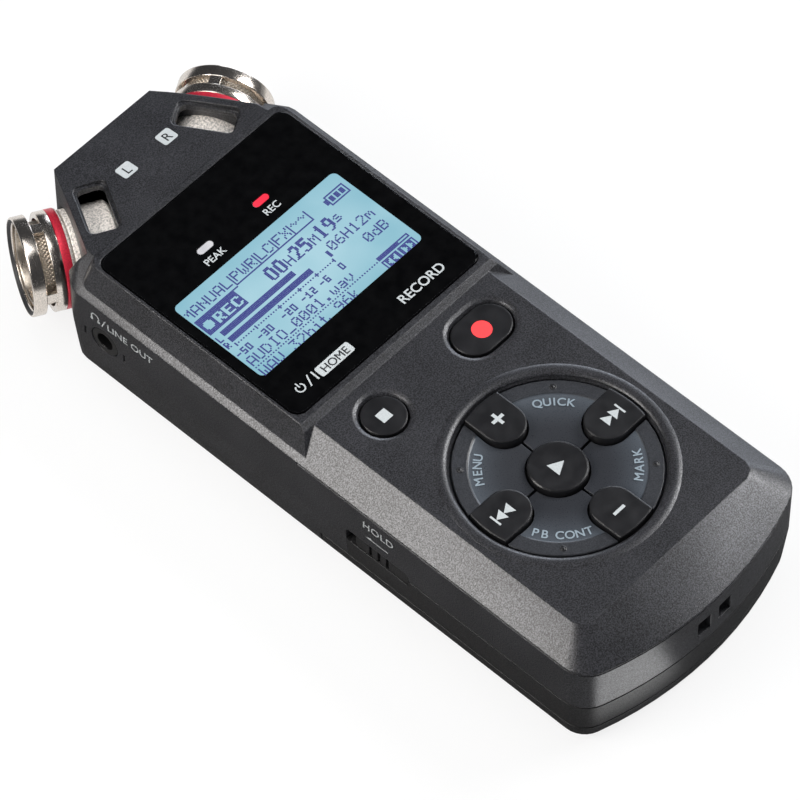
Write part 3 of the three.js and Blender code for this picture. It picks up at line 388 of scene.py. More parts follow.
def piece(name, mesh, material, body, smooth_degrees=None):
    """A new object that rides on a body and fills a material slot."""
    obj = bpy.data.objects.new(name, mesh)
    bpy.context.scene.collection.objects.link(obj)
    mesh.materials.append(M[material])
    if smooth_degrees is not None:
        mesh.shade_smooth()
        mesh.set_sharp_from_angle(angle=math.radians(smooth_degrees))
    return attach(obj, body)


def mesh_from(name, verts_mm, faces, matrix=Matrix()):
    """A mesh from points in millimetres, moved by a matrix."""
    mesh = bpy.data.meshes.new(name)
    mesh.from_pydata([matrix @ (Vector(v) * MM) for v in verts_mm], [], faces)
    mesh.validate()
    return mesh


def combined(name, meshes):
    """One mesh from several; the parts are dropped."""
    work = bmesh.new()
    for mesh in meshes:
        work.from_mesh(mesh)
        bpy.data.meshes.remove(mesh)
    mesh = bpy.data.meshes.new(name)
    work.to_mesh(mesh)
    work.free()
    return mesh


def lathe(name, profile_mm, matrix, segments=128, closed=True):
    """A turned surface about +Z from [radius, height] pairs in millimetres."""
    verts, faces = [], []
    count = len(profile_mm)
    for i in range(segments):
        angle = 2 * math.pi * i / segments
        for radius, height in profile_mm:
            verts.append((radius * math.cos(angle), radius * math.sin(angle), height))
    for i in range(segments):
        following = (i + 1) % segments
        for j in range(count if closed else count - 1):
            k = (j + 1) % count
            faces.append((i * count + j, following * count + j, following * count + k, i * count + k))
    mesh = mesh_from(name, verts, faces, matrix)
    work = bmesh.new()
    work.from_mesh(mesh)
    bmesh.ops.remove_doubles(work, verts=work.verts, dist=1e-7)
    bmesh.ops.recalc_face_normals(work, faces=work.faces)
    work.to_mesh(mesh)
    work.free()
    return mesh


def flat_mesh(name, outlines_mm, z_mm, matrix=Matrix()):
    """Filled flat outlines, with holes where one outline lies inside another."""
    curve = bpy.data.curves.new(name, "CURVE")
    curve.dimensions = "2D"
    curve.fill_mode = "BOTH"
    for outline in outlines_mm:
        spline = curve.splines.new("POLY")
        spline.points.add(len(outline) - 1)
        for point, (x, y) in zip(spline.points, outline):
            point.co = (x * MM, y * MM, 0, 1)
        spline.use_cyclic_u = True
    return baked(name, curve, matrix @ Matrix.Translation((0, 0, z_mm * MM)))


def baked(name, data, matrix):
    """A curve or text as a mesh, moved by a matrix."""
    holder = bpy.data.objects.new(name + "_curve", data)
    bpy.context.scene.collection.objects.link(holder)
    bpy.context.view_layer.update()
    mesh = bpy.data.meshes.new_from_object(holder.evaluated_get(bpy.context.evaluated_depsgraph_get()))
    bpy.data.objects.remove(holder)
    mesh.name = name
    mesh.materials.clear()
    mesh.transform(matrix)
    return mesh


def text_mesh(name, words, height_mm, matrix, spacing, weight_mm):
    """Words with a given capital height, centred on the matrix's origin, thickened by shifted copies."""
    curve = bpy.data.curves.new(name, "FONT")
    curve.body = words
    curve.size = height_mm * MM / CAPITAL_SHARE
    curve.align_x = "CENTER"
    curve.space_character = spacing
    shift = Matrix.Translation((0, -height_mm * MM / 2, 0))
    letters = baked(name, curve, shift)
    copies = []
    reach = weight_mm * MM
    for i in range(6):
        angle = math.pi * i / 3
        nudge = Matrix.Translation((reach * math.cos(angle), reach * math.sin(angle), COPY_STEP * MM * i))
        copy = letters.copy()
        copy.transform(matrix @ nudge)
        copies.append(copy)
    bpy.data.meshes.remove(letters)
    return combined(name, copies)


def on_plane(x, y, z, turn=0.0):
    """A frame on a face that looks along +Z, in millimetres, turned about its normal."""
    return Matrix.Translation(Vector((x, y, z)) * MM) @ Matrix.Rotation(turn, 4, "Z")


def rounded(x0, x1, y0, y1, radius, steps=6):
    """The outline of a rectangle with round corners."""
    points = []
    for cx, cy, start in (
        (x1 - radius, y0 + radius, -90),
        (x1 - radius, y1 - radius, 0),
        (x0 + radius, y1 - radius, 90),
        (x0 + radius, y0 + radius, 180),
    ):
        for i in range(steps + 1):
            angle = math.radians(start + 90 * i / steps)
            points.append((cx + radius * math.cos(angle), cy + radius * math.sin(angle)))
    return points


# ---------------------------------------------------------------- microphones


def mic_matrix(side):
    """A microphone's own frame: its axis is +Z and its front face is at zero."""
    azimuth = MIC_AZIMUTH if side > 0 else math.pi - MIC_AZIMUTH
    x, y, z = MIC_CENTRE
    place = Matrix.Translation(Vector((side * x, y, z)) * MM)
    return place @ Matrix.Rotation(azimuth, 4, "Z") @ Matrix.Rotation(math.pi / 2 - MIC_LIFT, 4, "Y")


def micro_ring(name, outer, inner, low, high, matrix, edge=0.12):
    """A turned ring with softened outer edges."""
    return lathe(
        name,
        [
            [inner, low],
            [outer - edge, low],
            [outer - edge * 0.3, low + edge * 0.3],
            [outer, low + edge],
            [outer, high - edge],
            [outer - edge * 0.3, high - edge * 0.3],
            [outer - edge, high],
            [inner, high],
        ],
        matrix,
    )


def knurled(name, radius, low, high, matrix, around=60, depth=0.26):
    """A cross-knurled sleeve: raised diamonds between two families of slanted grooves."""
    segments = around * 6
    rows = 36
    pitch = 2 * math.pi * radius / around
    verts, faces = [], []
    for j in range(rows + 1):
        z = low + (high - low) * j / rows
        for i in range(segments):
            angle = 2 * math.pi * i / segments
            along = angle * radius / pitch
            up = z / pitch
            wave = abs(math.sin(math.pi * (along + up))) * abs(math.sin(math.pi * (along - up)))
            r = radius - depth + depth * min(1.0, 1.35 * wave)
            verts.append((r * math.cos(angle), r * math.sin(angle), z))
    for j in range(rows):
        for i in range(segments):
            k = (i + 1) % segments
            faces.append((j * segments + i, j * segments + k, (j + 1) * segments + k, (j + 1) * segments + i))
    return mesh_from(name, verts, faces, matrix)


def build_mic(side, label):
    """One microphone, from the lip of its guard to the barrel inside the head."""
    m = mic_matrix(side)
    inner = MIC_RADIUS - 1.05
    front = lathe(
        f"mic_front_{label}",
        [
            [inner, -2.4],
            [MIC_RADIUS - 0.1, -2.4],
            [MIC_RADIUS, -2.3],
            [MIC_RADIUS, -0.28],
            [MIC_RADIUS - 0.06, -0.12],
            [MIC_RADIUS - 0.2, 0],
            [MIC_RADIUS - 0.34, 0],
            [MIC_RADIUS - 0.42, -0.04],
            [inner, -0.75],
        ],
        m,
    )
    rear = micro_ring(f"mic_rear_{label}", MIC_RADIUS, inner, -6.05, -4.15, m)
    pillars = []
    for quarter in range(4):
        angle = math.radians(6 + 90 * quarter)
        turn = Matrix.Rotation(math.pi - side * angle, 4, "Z")
        half = 1.05
        points = []
        for i in range(7):
            swing = (i / 6 - 0.5) * 2 * half / MIC_RADIUS
            points.append(((MIC_RADIUS - 0.04) * math.cos(swing), (MIC_RADIUS - 0.04) * math.sin(swing)))
        for i in range(7):
            swing = (0.5 - i / 6) * 2 * half / MIC_RADIUS
            points.append(((inner + 0.1) * math.cos(swing), (inner + 0.1) * math.sin(swing)))
        count = len(points)
        verts = [(x, y, -4.3) for x, y in points] + [(x, y, -2.25) for x, y in points]
        faces = [tuple(range(count))[::-1], tuple(range(count, 2 * count))]
        faces += [(i, (i + 1) % count, count + (i + 1) % count, count + i) for i in range(count)]
        pillars.append(mesh_from("pillar", verts, faces, m @ turn))
    guard = combined(f"microphone_guard_{label}", [front, rear, *pillars])
    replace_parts(piece(guard.name, guard, "nickel", "casing", 30), f"mic_guard_{label}")

    # painted shade: a band of dark ink over the guard's inner chamfer, where shade falls at the mouth of the
    # cup
    lip = lathe(
        f"microphone_lip_{label}",
        [
            [MIC_RADIUS - 0.36, -0.01],
            [MIC_RADIUS - 0.42, -0.05],
            [inner + 0.22, -0.62],
            [inner + 0.16, -0.56],
            [MIC_RADIUS - 0.5, 0.0],
        ],
        m,
    )
    piece(lip.name, lip, "ink_dark", "casing", 30)

    band = micro_ring(f"microphone_band_{label}", MIC_RADIUS, MIC_RADIUS - 1.4, -7.6, -6.1, m, 0.08)
    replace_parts(piece(band.name, band, "red_ring", "casing", 30), f"mic_band_{label}")

    outer = MIC_RADIUS - 1.5
    cup = combined(
        f"microphone_cup_{label}",
        [
            knurled("knurl", outer, -5.9, -1.15, m),
            lathe(
                "cup_inside",
                [
                    [outer - 0.14, -1.15],
                    [outer - 0.3, -1.0],
                    [outer - 0.6, -1.05],
                    [outer - 0.7, -1.3],
                    [outer - 0.72, -4.5],
                    [outer - 1.0, -4.8],
                    [0.0, -4.8],
                    [0.0, -5.9],
                    [outer - 0.14, -5.9],
                ],
                m,
                96,
                False,
            ),
        ],
    )
    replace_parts(piece(cup.name, cup, "nickel_dark", "casing", 40), f"mic_cup_{label}")

    reach = MIC_RADIUS - 2.55
    rings = []
    for i in range(9):
        r = reach * i / 8
        rings.append([r, -3.05 - 0.5 * (r / reach) ** 2])
    grille_profile = rings[::-1] + [[0.0, -4.7], [reach, -4.7]]
    dome = [lathe("dome", grille_profile, m, 96)]
    for r in (1.2, 2.6, 4.0, 5.4):
        crest = -2.95 - 0.45 * (r / reach) ** 2
        dome.append(micro_ring("hoop", r + 0.16, r - 0.16, -3.6, crest, m, 0.05))
    capsule = combined(f"microphone_capsule_{label}", dome)
    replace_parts(piece(capsule.name, capsule, "grille", "casing", 35), f"mic_capsule_{label}")

    body = lathe(
        f"microphone_body_{label}",
        [
            [0.0, -17.0],
            [MIC_BODY_RADIUS - 0.5, -17.0],
            [MIC_BODY_RADIUS, -16.5],
            [MIC_BODY_RADIUS, -8.5],
            [MIC_BODY_RADIUS - 0.06, -8.4],
            [MIC_BODY_RADIUS - 0.15, -8.35],
            [MIC_BODY_RADIUS - 0.9, -8.35],
            [MIC_BODY_RADIUS - 0.9, -7.9],
            [MIC_RADIUS - 0.25, -7.9],
            [MIC_RADIUS - 0.16, -7.85],
            [MIC_RADIUS - 0.15, -7.7],
            [MIC_RADIUS - 0.2, -7.65],
            [MIC_RADIUS - 1.75, -7.65],
            [MIC_RADIUS - 1.75, -6.1],
            [0.0, -6.1],
        ],
        m,
    )
    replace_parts(piece(body.name, body, "nickel_cast", "casing", 30), f"mic_body_{label}")


for side, label in ((-1, "left"), (1, "right")):
    build_mic(side, label)

# ---------------------------------------------------------------- screen

LCD = (-20.85, 18.85, 11.85, 32.85)  # x0, x1, y0, y1 of the lit window
DOT = 0.303
DOT_FILL = 0.98  # a dot's share of its cell
DOT_COLUMNS, DOT_ROWS = 130, 69

# Columns of a plain 5 x 7 dot font, lowest bit at the top.
FONT = {
    "0": "3E5149453E", "1": "00427F4000", "2": "4261514946", "3": "2141454B31", "5": "2745454539",
    "6": "3C4A494930", "9": "064949291E", "A": "7E1111117E", "B": "7F49494936", "C": "3E41414122",
    "D": "7F4141221C", "E": "7F49494941", "F": "7F09090901", "H": "7F0808087F", "I": "00417F4100",
    "L": "7F40404040", "M": "7F020C027F", "N": "7F0408107F", "O": "3E4141413E", "P": "7F09090906",
    "R": "7F09192946", "U": "3F4040403F", "V": "1F2040201F", "W": "3F4038403F", "X": "6314081463",
    "a": "2054545478", "b": "7F48444438", "d": "384444487F", "i": "00447D4000", "k": "7F10284400",
    "m": "7C04180478", "s": "4854545420", "t": "043F444020", "v": "1C2040201C", "w": "3C4030403C",
    ".": "0060600000", "_": "4040404040", "~": "0402040804", " ": "0000000000",
}
SMALL = {
    "0": "1F111F", "1": "121F10", "2": "1D1517", "3": "15151F", "5": "17151D",
    "6": "1F151D", "-": "040404", "L": "1F1010", "R": "1F0D16",
}


def write(cells, words, column, row, font=FONT, height=7, gap=1, erase=False):
    """Letters from a dot font, their top left dot at a column and row; returns the column after them."""
    change = cells.discard if erase else cells.add
    for letter in words:
        glyph = bytes.fromhex(font[letter])
        for i, bits in enumerate(glyph):
            for j in range(height):
                if bits >> j & 1:
                    change((column + i, row + j))
        column += len(glyph) + gap
    return column


def bar(cells, x0, x1, y0, y1, erase=False):
    """A filled block of dots."""
    change = cells.discard if erase else cells.add
    for x in range(x0, x1):
        for y in range(y0, y1):
            change((x, y))


def bold(cells, words, column, row):
    """Wide digits: each glyph drawn twice, a dot apart, and stretched to ten dots high."""
    for letter in words:
        for i, bits in enumerate(bytes.fromhex(FONT["O" if letter == "0" else letter])):
            for j in range(10):
                if bits >> min(6, j * 7 // 10) & 1:
                    cells.add((column + i, row + j))
                    cells.add((column + i + 1, row + j))
        column += 7
    return column


def screen_cells():
    """The dark dots of the whole screen, as (column, row) from its top left corner."""
    cells = set()
    column = write(cells, "MANUAL", -1, 6)
    bar(cells, 0, column, 15, 16)
    for tab in ("PWR", "LC", "FX", "~~"):
        bar(cells, column, column + 1, 6, 15)
        start = column + 2
        column = write(cells, tab, start, 6)
        bar(cells, start - 1, column, 14, 15)
    bar(cells, column, column + 1, 6, 15)
    # battery
    bar(cells, 112, 127, 8, 16)
    bar(cells, 113, 126, 9, 15, True)
    bar(cells, 110, 112, 10, 14)
    for x in (114, 118, 122):
        bar(cells, x, x + 3, 10, 14)
    # counters
    column = bold(cells, "00", 51, 18)
    column = write(cells, "H", column, 21)
    column = bold(cells, "25", column, 18)
    column = write(cells, "M", column, 21)
    column = bold(cells, "19", column, 18)
    write(cells, "s", column, 19)
    write(cells, "06H12m", 89, 31)
    # state box
    bar(cells, 0, 31, 16, 28)
    for nudge in (0, 1):
        write(cells, "REC", 10 + nudge, 19, gap=2, erase=True)
    bar(cells, 2, 8, 20, 24, True)
    bar(cells, 3, 7, 19, 25, True)
    # level bars with their scale
    write(cells, "L", 0, 31, SMALL, 5)
    write(cells, "R", 0, 37, SMALL, 5)
    bar(cells, 5, 63, 30, 34)
    bar(cells, 5, 71, 36, 40)
    bar(cells, 85, 87, 35, 40)
    for x in range(5, 85, 2):
        cells.add((x, 42))
    for x in (5, 21, 40, 56, 70, 84):
        bar(cells, x, x + 1, 41, 44)
    for words, x in (("-50", 0), ("-30", 17), ("-20", 36), ("-12", 52), ("-6", 67), ("0", 83)):
        write(cells, words, x, 46, SMALL, 5)
    write(cells, "0dB", 107, 42)
    # file name and format, generic
    write(cells, "AUDIO_0001.wav", 1, 53)
    for x in range(1, 101, 2):
        cells.add((x, 61))
    write(cells, "WAV 32bit 96k", 1, 63)
    # progress bar and skip marks
    bar(cells, 101, 126, 59, 62)
    bar(cells, 118, 125, 60, 61, True)
    for x in (101, 114):
        bar(cells, x, x + 12, 63, 70)
    for i in range(3):
        for x in (104 + i, 108 + i, 118 - i, 122 - i):
            bar(cells, x, x + 1, 66 - i, 67 + i, True)
    for x in (102, 124):
        bar(cells, x, x + 1, 64, 69, True)
    return {(x, y) for x, y in cells if 0 <= x < DOT_COLUMNS and 0 <= y < DOT_ROWS}


def build_screen():
    """The lit window and, just above it, a square for each dark dot."""
    x0, x1, y0, y1 = LCD
    window = flat_mesh("lcd_window", [rounded(x0, x1, y0, y1, 1.1)], GLASS_Z + 0.004)
    piece("lcd_window", window, "lcd", "casing")
    verts, faces = [], []
    z = GLASS_Z + 0.008
    size = DOT * DOT_FILL
    for column, row in sorted(screen_cells()):
        x = x0 + 0.3 + column * DOT
        y = y1 - 0.15 - row * DOT
        start = len(verts)
        verts += [(x, y - size, z), (x + size, y - size, z), (x + size, y, z), (x, y, z)]
        faces.append((start, start + 1, start + 2, start + 3))
    piece("lcd_dots", mesh_from("lcd_dots", verts, faces), "dots", "casing")


build_screen()


def glass_rim():
    """The ground edge of the display glass, a fine sloped line that catches light."""
    lo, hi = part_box("display_glass")
    x0, y0, x1, y1 = lo.x / MM, lo.y / MM, hi.x / MM, hi.y / MM
    verts = []
    for inset, z in ((0.2, GLASS_Z + 0.003), (0.01, GLASS_Z - 0.13), (0.01, GLASS_Z - 0.4)):
        outline = rounded(x0 + inset, x1 - inset, y0 + inset, y1 - inset, GLASS_CORNER - inset, 12)
        verts += [(x, y, z) for x, y in outline]
    count = len(outline)
    faces = []
    for row in (0, count):
        for i in range(count):
            k = (i + 1) % count
            faces.append((row + i, row + count + i, row + count + k, row + k))
    piece("glass_rim", mesh_from("glass_rim", verts, faces), "glass_edge", "casing", 25)


glass_rim()

# ---------------------------------------------------------------- printed marks


def mark(name, words, height, matrix, material="ink", spacing=1.0, weight=0.03):
    """Printed words on the casing."""
    mesh = text_mesh(name, words, height, matrix, spacing, weight)
    return piece(name, mesh, material, "casing")


def shape(name, outlines, matrix, body="casing", material="ink"):
    """Printed signs from outlines."""
    return piece(name, flat_mesh(name, outlines, 0, matrix), material, body)


glass_print = GLASS_Z + TEXT_LIFT
mark("label_peak", "PEAK", 1.45, on_plane(-8.05, 35.25, glass_print))
mark("label_rec", "REC", 1.45, on_plane(5.97, 35.3, glass_print))
mark("label_record", "RECORD", 1.95, on_plane(11.6, 5.75, glass_print), weight=0.045)
shape("label_home_box", [rounded(-13.9, -5.95, 4.45, 6.75, 0.45)], on_plane(0, 0, glass_print))
mark("label_home", "HOME", 1.6, on_plane(-9.9, 5.6, glass_print + 0.004), material="ink_dark")


def arc(radius, start, end, steps=28):
    """Points along an arc between two angles in degrees."""
    angles = [math.radians(start + (end - start) * i / steps) for i in range(steps + 1)]
    return [(radius * math.cos(angle), radius * math.sin(angle)) for angle in angles]


# power sign: an open ring with a stroke, then a slash and a bar
power_ring = arc(0.95, 125, 415) + arc(0.68, 415, 125)
power_marks = [
    power_ring,
    [(-0.14, 0.15), (0.14, 0.15), (0.14, 1.25), (-0.14, 1.25)],
    [(1.45, -1.1), (1.75, -1.1), (2.75, 1.1), (2.45, 1.1)],
    [(3.35, -1.0), (3.68, -1.0), (3.68, 1.0), (3.35, 1.0)],
]
shape("label_power", power_marks, on_plane(-18.1, 5.75, glass_print))

# channel letters knocked out of light squares on the head
head_drop = math.atan2(-0.46, 4.0)
head_y, head_z = 60.0, 24.53
for x, letter in ((-4.2, "L"), (5.65, "R")):
    seat = on_plane(x, head_y, head_z) @ Matrix.Rotation(head_drop, 4, "X")
    shape(f"label_square_{letter}", [rounded(-1.6, 1.6, -1.5, 1.5, 0.5)], seat)
    above = seat @ Matrix.Translation((0, 0, 0.005 * MM))
    mark(f"label_letter_{letter}", letter, 1.9, above, material="ink_dark", weight=0.02)

# the key symbols ride on their keys
key_z = RAISED_KEY_Z + TEXT_LIFT
tip, arm = 1.3, 0.32  # half the length and half the thickness of a plus sign's strokes
plus = [
    (-tip, -arm), (-arm, -arm), (-arm, -tip), (arm, -tip), (arm, -arm), (tip, -arm),
    (tip, arm), (arm, arm), (arm, tip), (-arm, tip), (-arm, arm), (-tip, arm),
]
shape("symbol_plus", [plus], on_plane(0, DIAL_Y + SYMBOL_RADIUS, key_z), "plus_key_body")
minus = rounded(-tip, tip, -0.3, 0.3, 0.05)
shape("symbol_minus", [minus], on_plane(0, DIAL_Y - SYMBOL_RADIUS, key_z), "minus_key_body")
skip = [
    [(-1.9, -1.15), (-0.1, 0), (-1.9, 1.15)],
    [(-0.1, -1.15), (1.7, 0), (-0.1, 1.15)],
    [(1.72, -1.2), (2.1, -1.2), (2.1, 1.2), (1.72, 1.2)],
]
shape("symbol_forward", skip, on_plane(SYMBOL_RADIUS, DIAL_Y, key_z), "forward_key_body")
shape("symbol_rewind", skip, on_plane(-SYMBOL_RADIUS, DIAL_Y, key_z, math.pi), "rewind_key_body")
button_z = BUTTON_Z + TEXT_LIFT
play = [(-1.25, -1.45), (1.5, 0), (-1.25, 1.45)]
square = rounded(-1.1, 1.1, -1.1, 1.1, 0.06)
shape("symbol_play", [play], on_plane(0, DIAL_Y, button_z), "play_button_body")
shape("symbol_stop", [square], on_plane(-TOP_KEY_X, TOP_KEY_Y, button_z), "stop_button_body")
disc = arc(1.8, 0, 354, 59)
shape("symbol_record", [disc], on_plane(TOP_KEY_X, TOP_KEY_Y, button_z), "record_button_body", "ink_red")


def curved(name, words, middle_degrees, body, outward):
    """Letters along an arc of the dial, heads out or heads in."""
    widths = {"I": 0.55, " ": 0.55, "M": 1.2, "Q": 1.12, "O": 1.12}
    steps = [widths.get(letter, 1.0) for letter in words]
    pitch = LABEL_HEIGHT * 0.99
    total = sum(steps) * pitch
    along = -total / 2
    parts = []
    for letter, step in zip(words, steps):
        centre = along + step * pitch / 2
        along += step * pitch
        if letter == " ":
            continue
        swing = centre / LABEL_RADIUS
        angle = math.radians(middle_degrees) - swing if outward else math.radians(middle_degrees) + swing
        turn = angle - math.pi / 2 if outward else angle + math.pi / 2
        x = LABEL_RADIUS * math.cos(angle)
        y = DIAL_Y + LABEL_RADIUS * math.sin(angle)
        key_top = DIAL_KEY_Z - DISH_STEP - DISH_DEPTH * (DISH_RADIUS - LABEL_RADIUS) / DISH_RUN
        seat = on_plane(x, y, key_top + LEVEL_LIFT, turn)
        parts.append(text_mesh("letter", letter, LABEL_HEIGHT, seat, 1.0, 0.045))
    piece(name, combined(name, parts), "ink_blue", body)


curved("label_quick", "QUICK", 45, "quick_key_body", True)
curved("label_menu", "MENU", 135, "menu_key_body", True)
curved("label_mark", "MARK", -45, "mark_key_body", False)
curved("label_pb_cont", "PB CONT", 225, "playback_key_body", False)

for degrees, key in ((45, "quick_key"), (135, "menu_key"), (225, "playback_key"), (-45, "mark_key")):
    x = PIP_RADIUS * math.cos(math.radians(degrees))
    y = DIAL_Y + PIP_RADIUS * math.sin(math.radians(degrees))
    pip = lathe(
        f"pip_{key}",
        [[0.62, 0.0], [0.5, 0.06], [0.42, -0.02], [0.3, 0.05], [0.16, 0.16], [0.0, 0.2]],
        on_plane(x, y, DIAL_KEY_Z),
        32,
        False,
    )
    piece(pip.name, pip, "key_plastic", key + "_body", 60)

# the soft raised rim round the dial
rim_low = PANEL_Z - 0.4
rim = lathe(
    "dial_rim",
    [
        [DIAL_RADIUS + 0.55, rim_low],
        [DIAL_RADIUS + 0.55, PANEL_Z - 0.34],
        [DIAL_RADIUS + 0.8, PANEL_Z - 0.08],
        [DIAL_RADIUS + 1.1, PANEL_Z + 0.1],
        [DIAL_RADIUS + 1.5, PANEL_Z + 0.21],
        [DIAL_RADIUS + 1.9, PANEL_Z + 0.24],
        [DIAL_RADIUS + 2.3, PANEL_Z + 0.18],
        [DIAL_RADIUS + 2.7, PANEL_Z + 0.06],
        [DIAL_RADIUS + 3.0, PANEL_Z - 0.06],
        [DIAL_RADIUS + 3.0, rim_low],
    ],
    on_plane(0, DIAL_Y, 0),
)
piece("dial_rim", rim, "case_paint", "casing", 60)

# the left wall: headphone sign and words, hold switch words and arrow
left_wall = Matrix.Translation((-CASE_HALF_WIDTH * MM - TEXT_LIFT * MM, 0, 0)) @ Matrix(
    ((0, 0, -1, 0), (-1, 0, 0, 0), (0, 1, 0, 0), (0, 0, 0, 1))
)


def wall(y, z):
    """A frame on the left wall, reading along the case."""
    return left_wall @ Matrix.Translation((-y * MM, z * MM, 0))


mark("label_line_out", "LINE OUT", 1.75, wall(37.4, 17.75), spacing=1.02)
phones = [
    arc(1.0, -50, 230) + arc(0.72, 230, -50),
    rounded(-1.15, -0.5, -1.15, -0.55, 0.2),
    rounded(0.5, 1.15, -1.15, -0.55, 0.2),
]
shape("label_phones", phones, wall(45.6, 17.9))
shape("label_slash", [[(-0.55, -1.0), (-0.3, -1.0), (0.55, 1.0), (0.3, 1.0)]], wall(43.6, 17.75))
mark("label_hold", "HOLD", 1.75, wall(-20.1, 17.75), spacing=1.08)
hold_arrow = [(-2.6, -0.1), (-1.3, 0.62), (-1.3, 0.12), (2.5, 0.12), (2.5, -0.1)]
shape("label_hold_arrow", [hold_arrow], wall(-19.9, 14.6))

# ---------------------------------------------------------------- stage, light and camera


def floor():
    """White ground for the camera and grey for other rays; clear from below and to shadow rays."""
    mesh = bpy.data.meshes.new("floor")
    reach = 6.0
    corners = [(-reach, -reach, 0), (reach, -reach, 0), (reach, reach, 0), (-reach, reach, 0)]
    mesh.from_pydata(corners, [], [(0, 1, 2, 3)])
    obj = bpy.data.objects.new("floor", mesh)
    bpy.context.scene.collection.objects.link(obj)
    obj.location.z = cad_low[2] - 0.0002
    n = Nodes("floor")
    n.set(Roughness=0.9)
    camera_ray = n.add("ShaderNodeLightPath").outputs["Is Camera Ray"]
    n.set(Base_Color=n.mix(camera_ray, (0.13, 0.13, 0.13), (0.86, 0.86, 0.86)))
    glow = n.add("ShaderNodeEmission", {"Color": (1, 1, 1), "Strength": 0.98})
    blend = n.add("ShaderNodeMixShader", {0: n.span(camera_ray, 0, 1, 0.0, 0.85)})
    n.tree.links.new(n.shader.outputs[0], blend.inputs[1])
    n.tree.links.new(glow.outputs[0], blend.inputs[2])
    from_below = n.add("ShaderNodeNewGeometry").outputs["Backfacing"]
    shadow_ray = n.add("ShaderNodeLightPath").outputs["Is Shadow Ray"]
    one_sided = n.add("ShaderNodeMixShader", {0: n.math("MAXIMUM", from_below, shadow_ray)})
    n.tree.links.new(blend.outputs[0], one_sided.inputs[1])
    n.tree.links.new(n.add("ShaderNodeBsdfTransparent").outputs[0], one_sided.inputs[2])
    n.tree.links.new(one_sided.outputs[0], n.tree.nodes["Material Output"].inputs["Surface"])
    mesh.materials.append(n.material)


def area(name, direction, distance, size, power, colour=(1, 1, 1), mirrored=True, target=(0, 0, 0.012)):
    """A rectangular lamp that looks at a target; mirrored says whether reflections show it."""
    data = bpy.data.lights.new(name, "AREA")
    data.shape = "RECTANGLE"
    data.size, data.size_y = size
    data.energy = power
    data.color = colour
    obj = bpy.data.objects.new(name, data)
    bpy.context.scene.collection.objects.link(obj)
    direction = Vector(direction).normalized()
    obj.location = Vector(target) + direction * distance
    obj.visible_glossy = mirrored
    obj.rotation_euler = direction.to_track_quat("Z", "Y").to_euler()


floor()
area(
    "left_back", (-0.69, 0.39, 0.61), 0.34, (0.19, 0.19), 1.08, (1.0, 0.97, 0.93), target=(-0.02, -0.04, 0.02)
)
area("right_over", (0.74, -0.26, 0.62), 0.9, (0.4, 0.4), 6.5)
area("right_back", (0.90, 0.42, 0.18), 0.9, (0.7, 0.35), 3.9, (0.84, 0.90, 1.0))
area("front_fill", (-0.20, -0.92, 0.30), 1.0, (0.5, 0.3), 3.0, mirrored=False)
area("left_fill", (-0.95, -0.1, 0.25), 1.0, (0.6, 0.25), 0.5, mirrored=False)
area("top_fill", (0.1, 0.1, 1.0), 1.2, (0.8, 0.8), 7.0, (0.95, 0.97, 1.0), mirrored=False)
area("back_fill", (0.1, -0.1, -1), 0.6, (0.5, 0.5), 1.6, mirrored=False)
area("back_glow", (0.55, 0.35, -0.75), 0.8, (0.4, 0.4), 1.2)


def spare_glass(light_name):
    """Keeps one light's mirror image off the display, so that its print stays readable from every side."""
    spared = bpy.data.collections.new("glass_without_glare")
    light = bpy.data.objects[light_name]
    light.light_linking.receiver_collection = spared
    for name in ("display_glass", "glass_rim", "lcd_window", "lcd_dots"):
        spared.objects.link(bpy.data.objects[name])
    for entry in spared.collection_objects:
        entry.light_linking.link_state = "EXCLUDE"


spare_glass("left_back")


def floor_card():
    """A small lit card on the floor by the lower left corner; it draws the soft upright highlight there."""
    data = bpy.data.lights.new("floor_card", "AREA")
    data.shape = "RECTANGLE"
    data.size, data.size_y = 0.021, 0.018
    data.energy = 0.0027
    obj = bpy.data.objects.new("floor_card", data)
    bpy.context.scene.collection.objects.link(obj)
    obj.location = (-0.0175, -0.0810, 0.0003)
    obj.rotation_euler = (math.pi, 0, math.radians(-12))
    obj.visible_camera = False


floor_card()


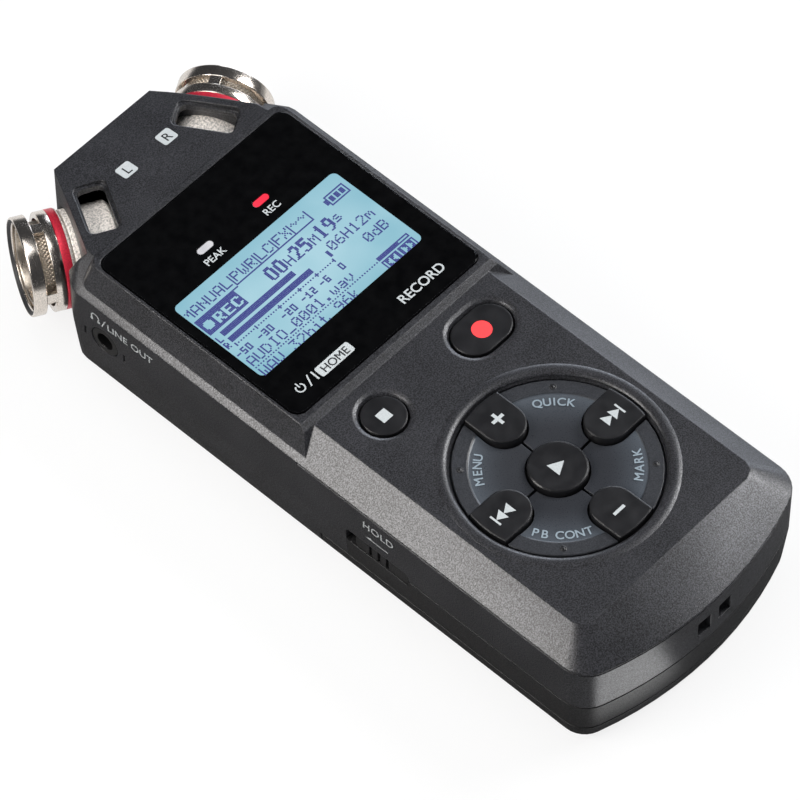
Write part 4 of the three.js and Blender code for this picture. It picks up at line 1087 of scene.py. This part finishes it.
def microphone_lights():
    """A soft box above and a lit sheet below for the microphones only: bright and dark bands on the rings."""
    nickel = bpy.data.collections.new("microphones")
    for obj in bpy.data.objects:
        if obj.name.startswith("microphone_"):
            nickel.objects.link(obj)
    for name, place, turn, size, power in (
        ("microphone_box", (-0.10, 0.12, 0.36), (math.radians(-8), math.radians(-16), 0), 0.22, 0.36),
        ("microphone_sheet", (0, 0.07, 0.0004), (math.pi, 0, 0), 0.20, 0.085),
    ):
        data = bpy.data.lights.new(name, "AREA")
        data.size = size
        data.energy = power
        obj = bpy.data.objects.new(name, data)
        bpy.context.scene.collection.objects.link(obj)
        obj.location = place
        obj.rotation_euler = turn
        obj.visible_camera = False
        obj.light_linking.receiver_collection = nickel


microphone_lights()

world = bpy.data.worlds.new("world")
bpy.context.scene.world = world
world.use_nodes = True
world.node_tree.nodes["Background"].inputs[0].default_value = (0.9, 0.93, 1.0, 1)
seen = world.node_tree.nodes.new("ShaderNodeLightPath").outputs["Is Camera Ray"]
strength = world.node_tree.nodes.new("ShaderNodeMapRange")
strength.inputs["To Min"].default_value = 0.05
strength.inputs["To Max"].default_value = 1.0
world.node_tree.links.new(seen, strength.inputs["Value"])
world.node_tree.links.new(strength.outputs[0], world.node_tree.nodes["Background"].inputs[1])
bpy.context.scene.view_settings.view_transform = "Standard"


def camera():
    """The photo's view, solved from the outline of the case, the dial and the microphones' rings."""
    azimuth, elevation = math.radians(-47.064), math.radians(54.723)
    roll, distance = math.radians(-0.166), 0.990495
    target = Vector((-0.001391, -0.001378, 0.012))
    level = math.cos(elevation)
    back = Vector((math.sin(azimuth) * level, -math.cos(azimuth) * level, math.sin(elevation)))
    right = Vector((0, 0, 1)).cross(back).normalized()
    up = back.cross(right)
    side = right * math.cos(roll) + up * math.sin(roll)
    top = up * math.cos(roll) - right * math.sin(roll)
    data = bpy.data.cameras.new("camera")
    data.sensor_width = 36
    data.lens = 262.814
    obj = bpy.data.objects.new("camera", data)
    bpy.context.scene.collection.objects.link(obj)
    matrix = Matrix((side, top, back)).transposed().to_4x4()
    matrix.translation = target + back * distance
    obj.matrix_world = matrix
    bpy.context.scene.camera = obj


camera()
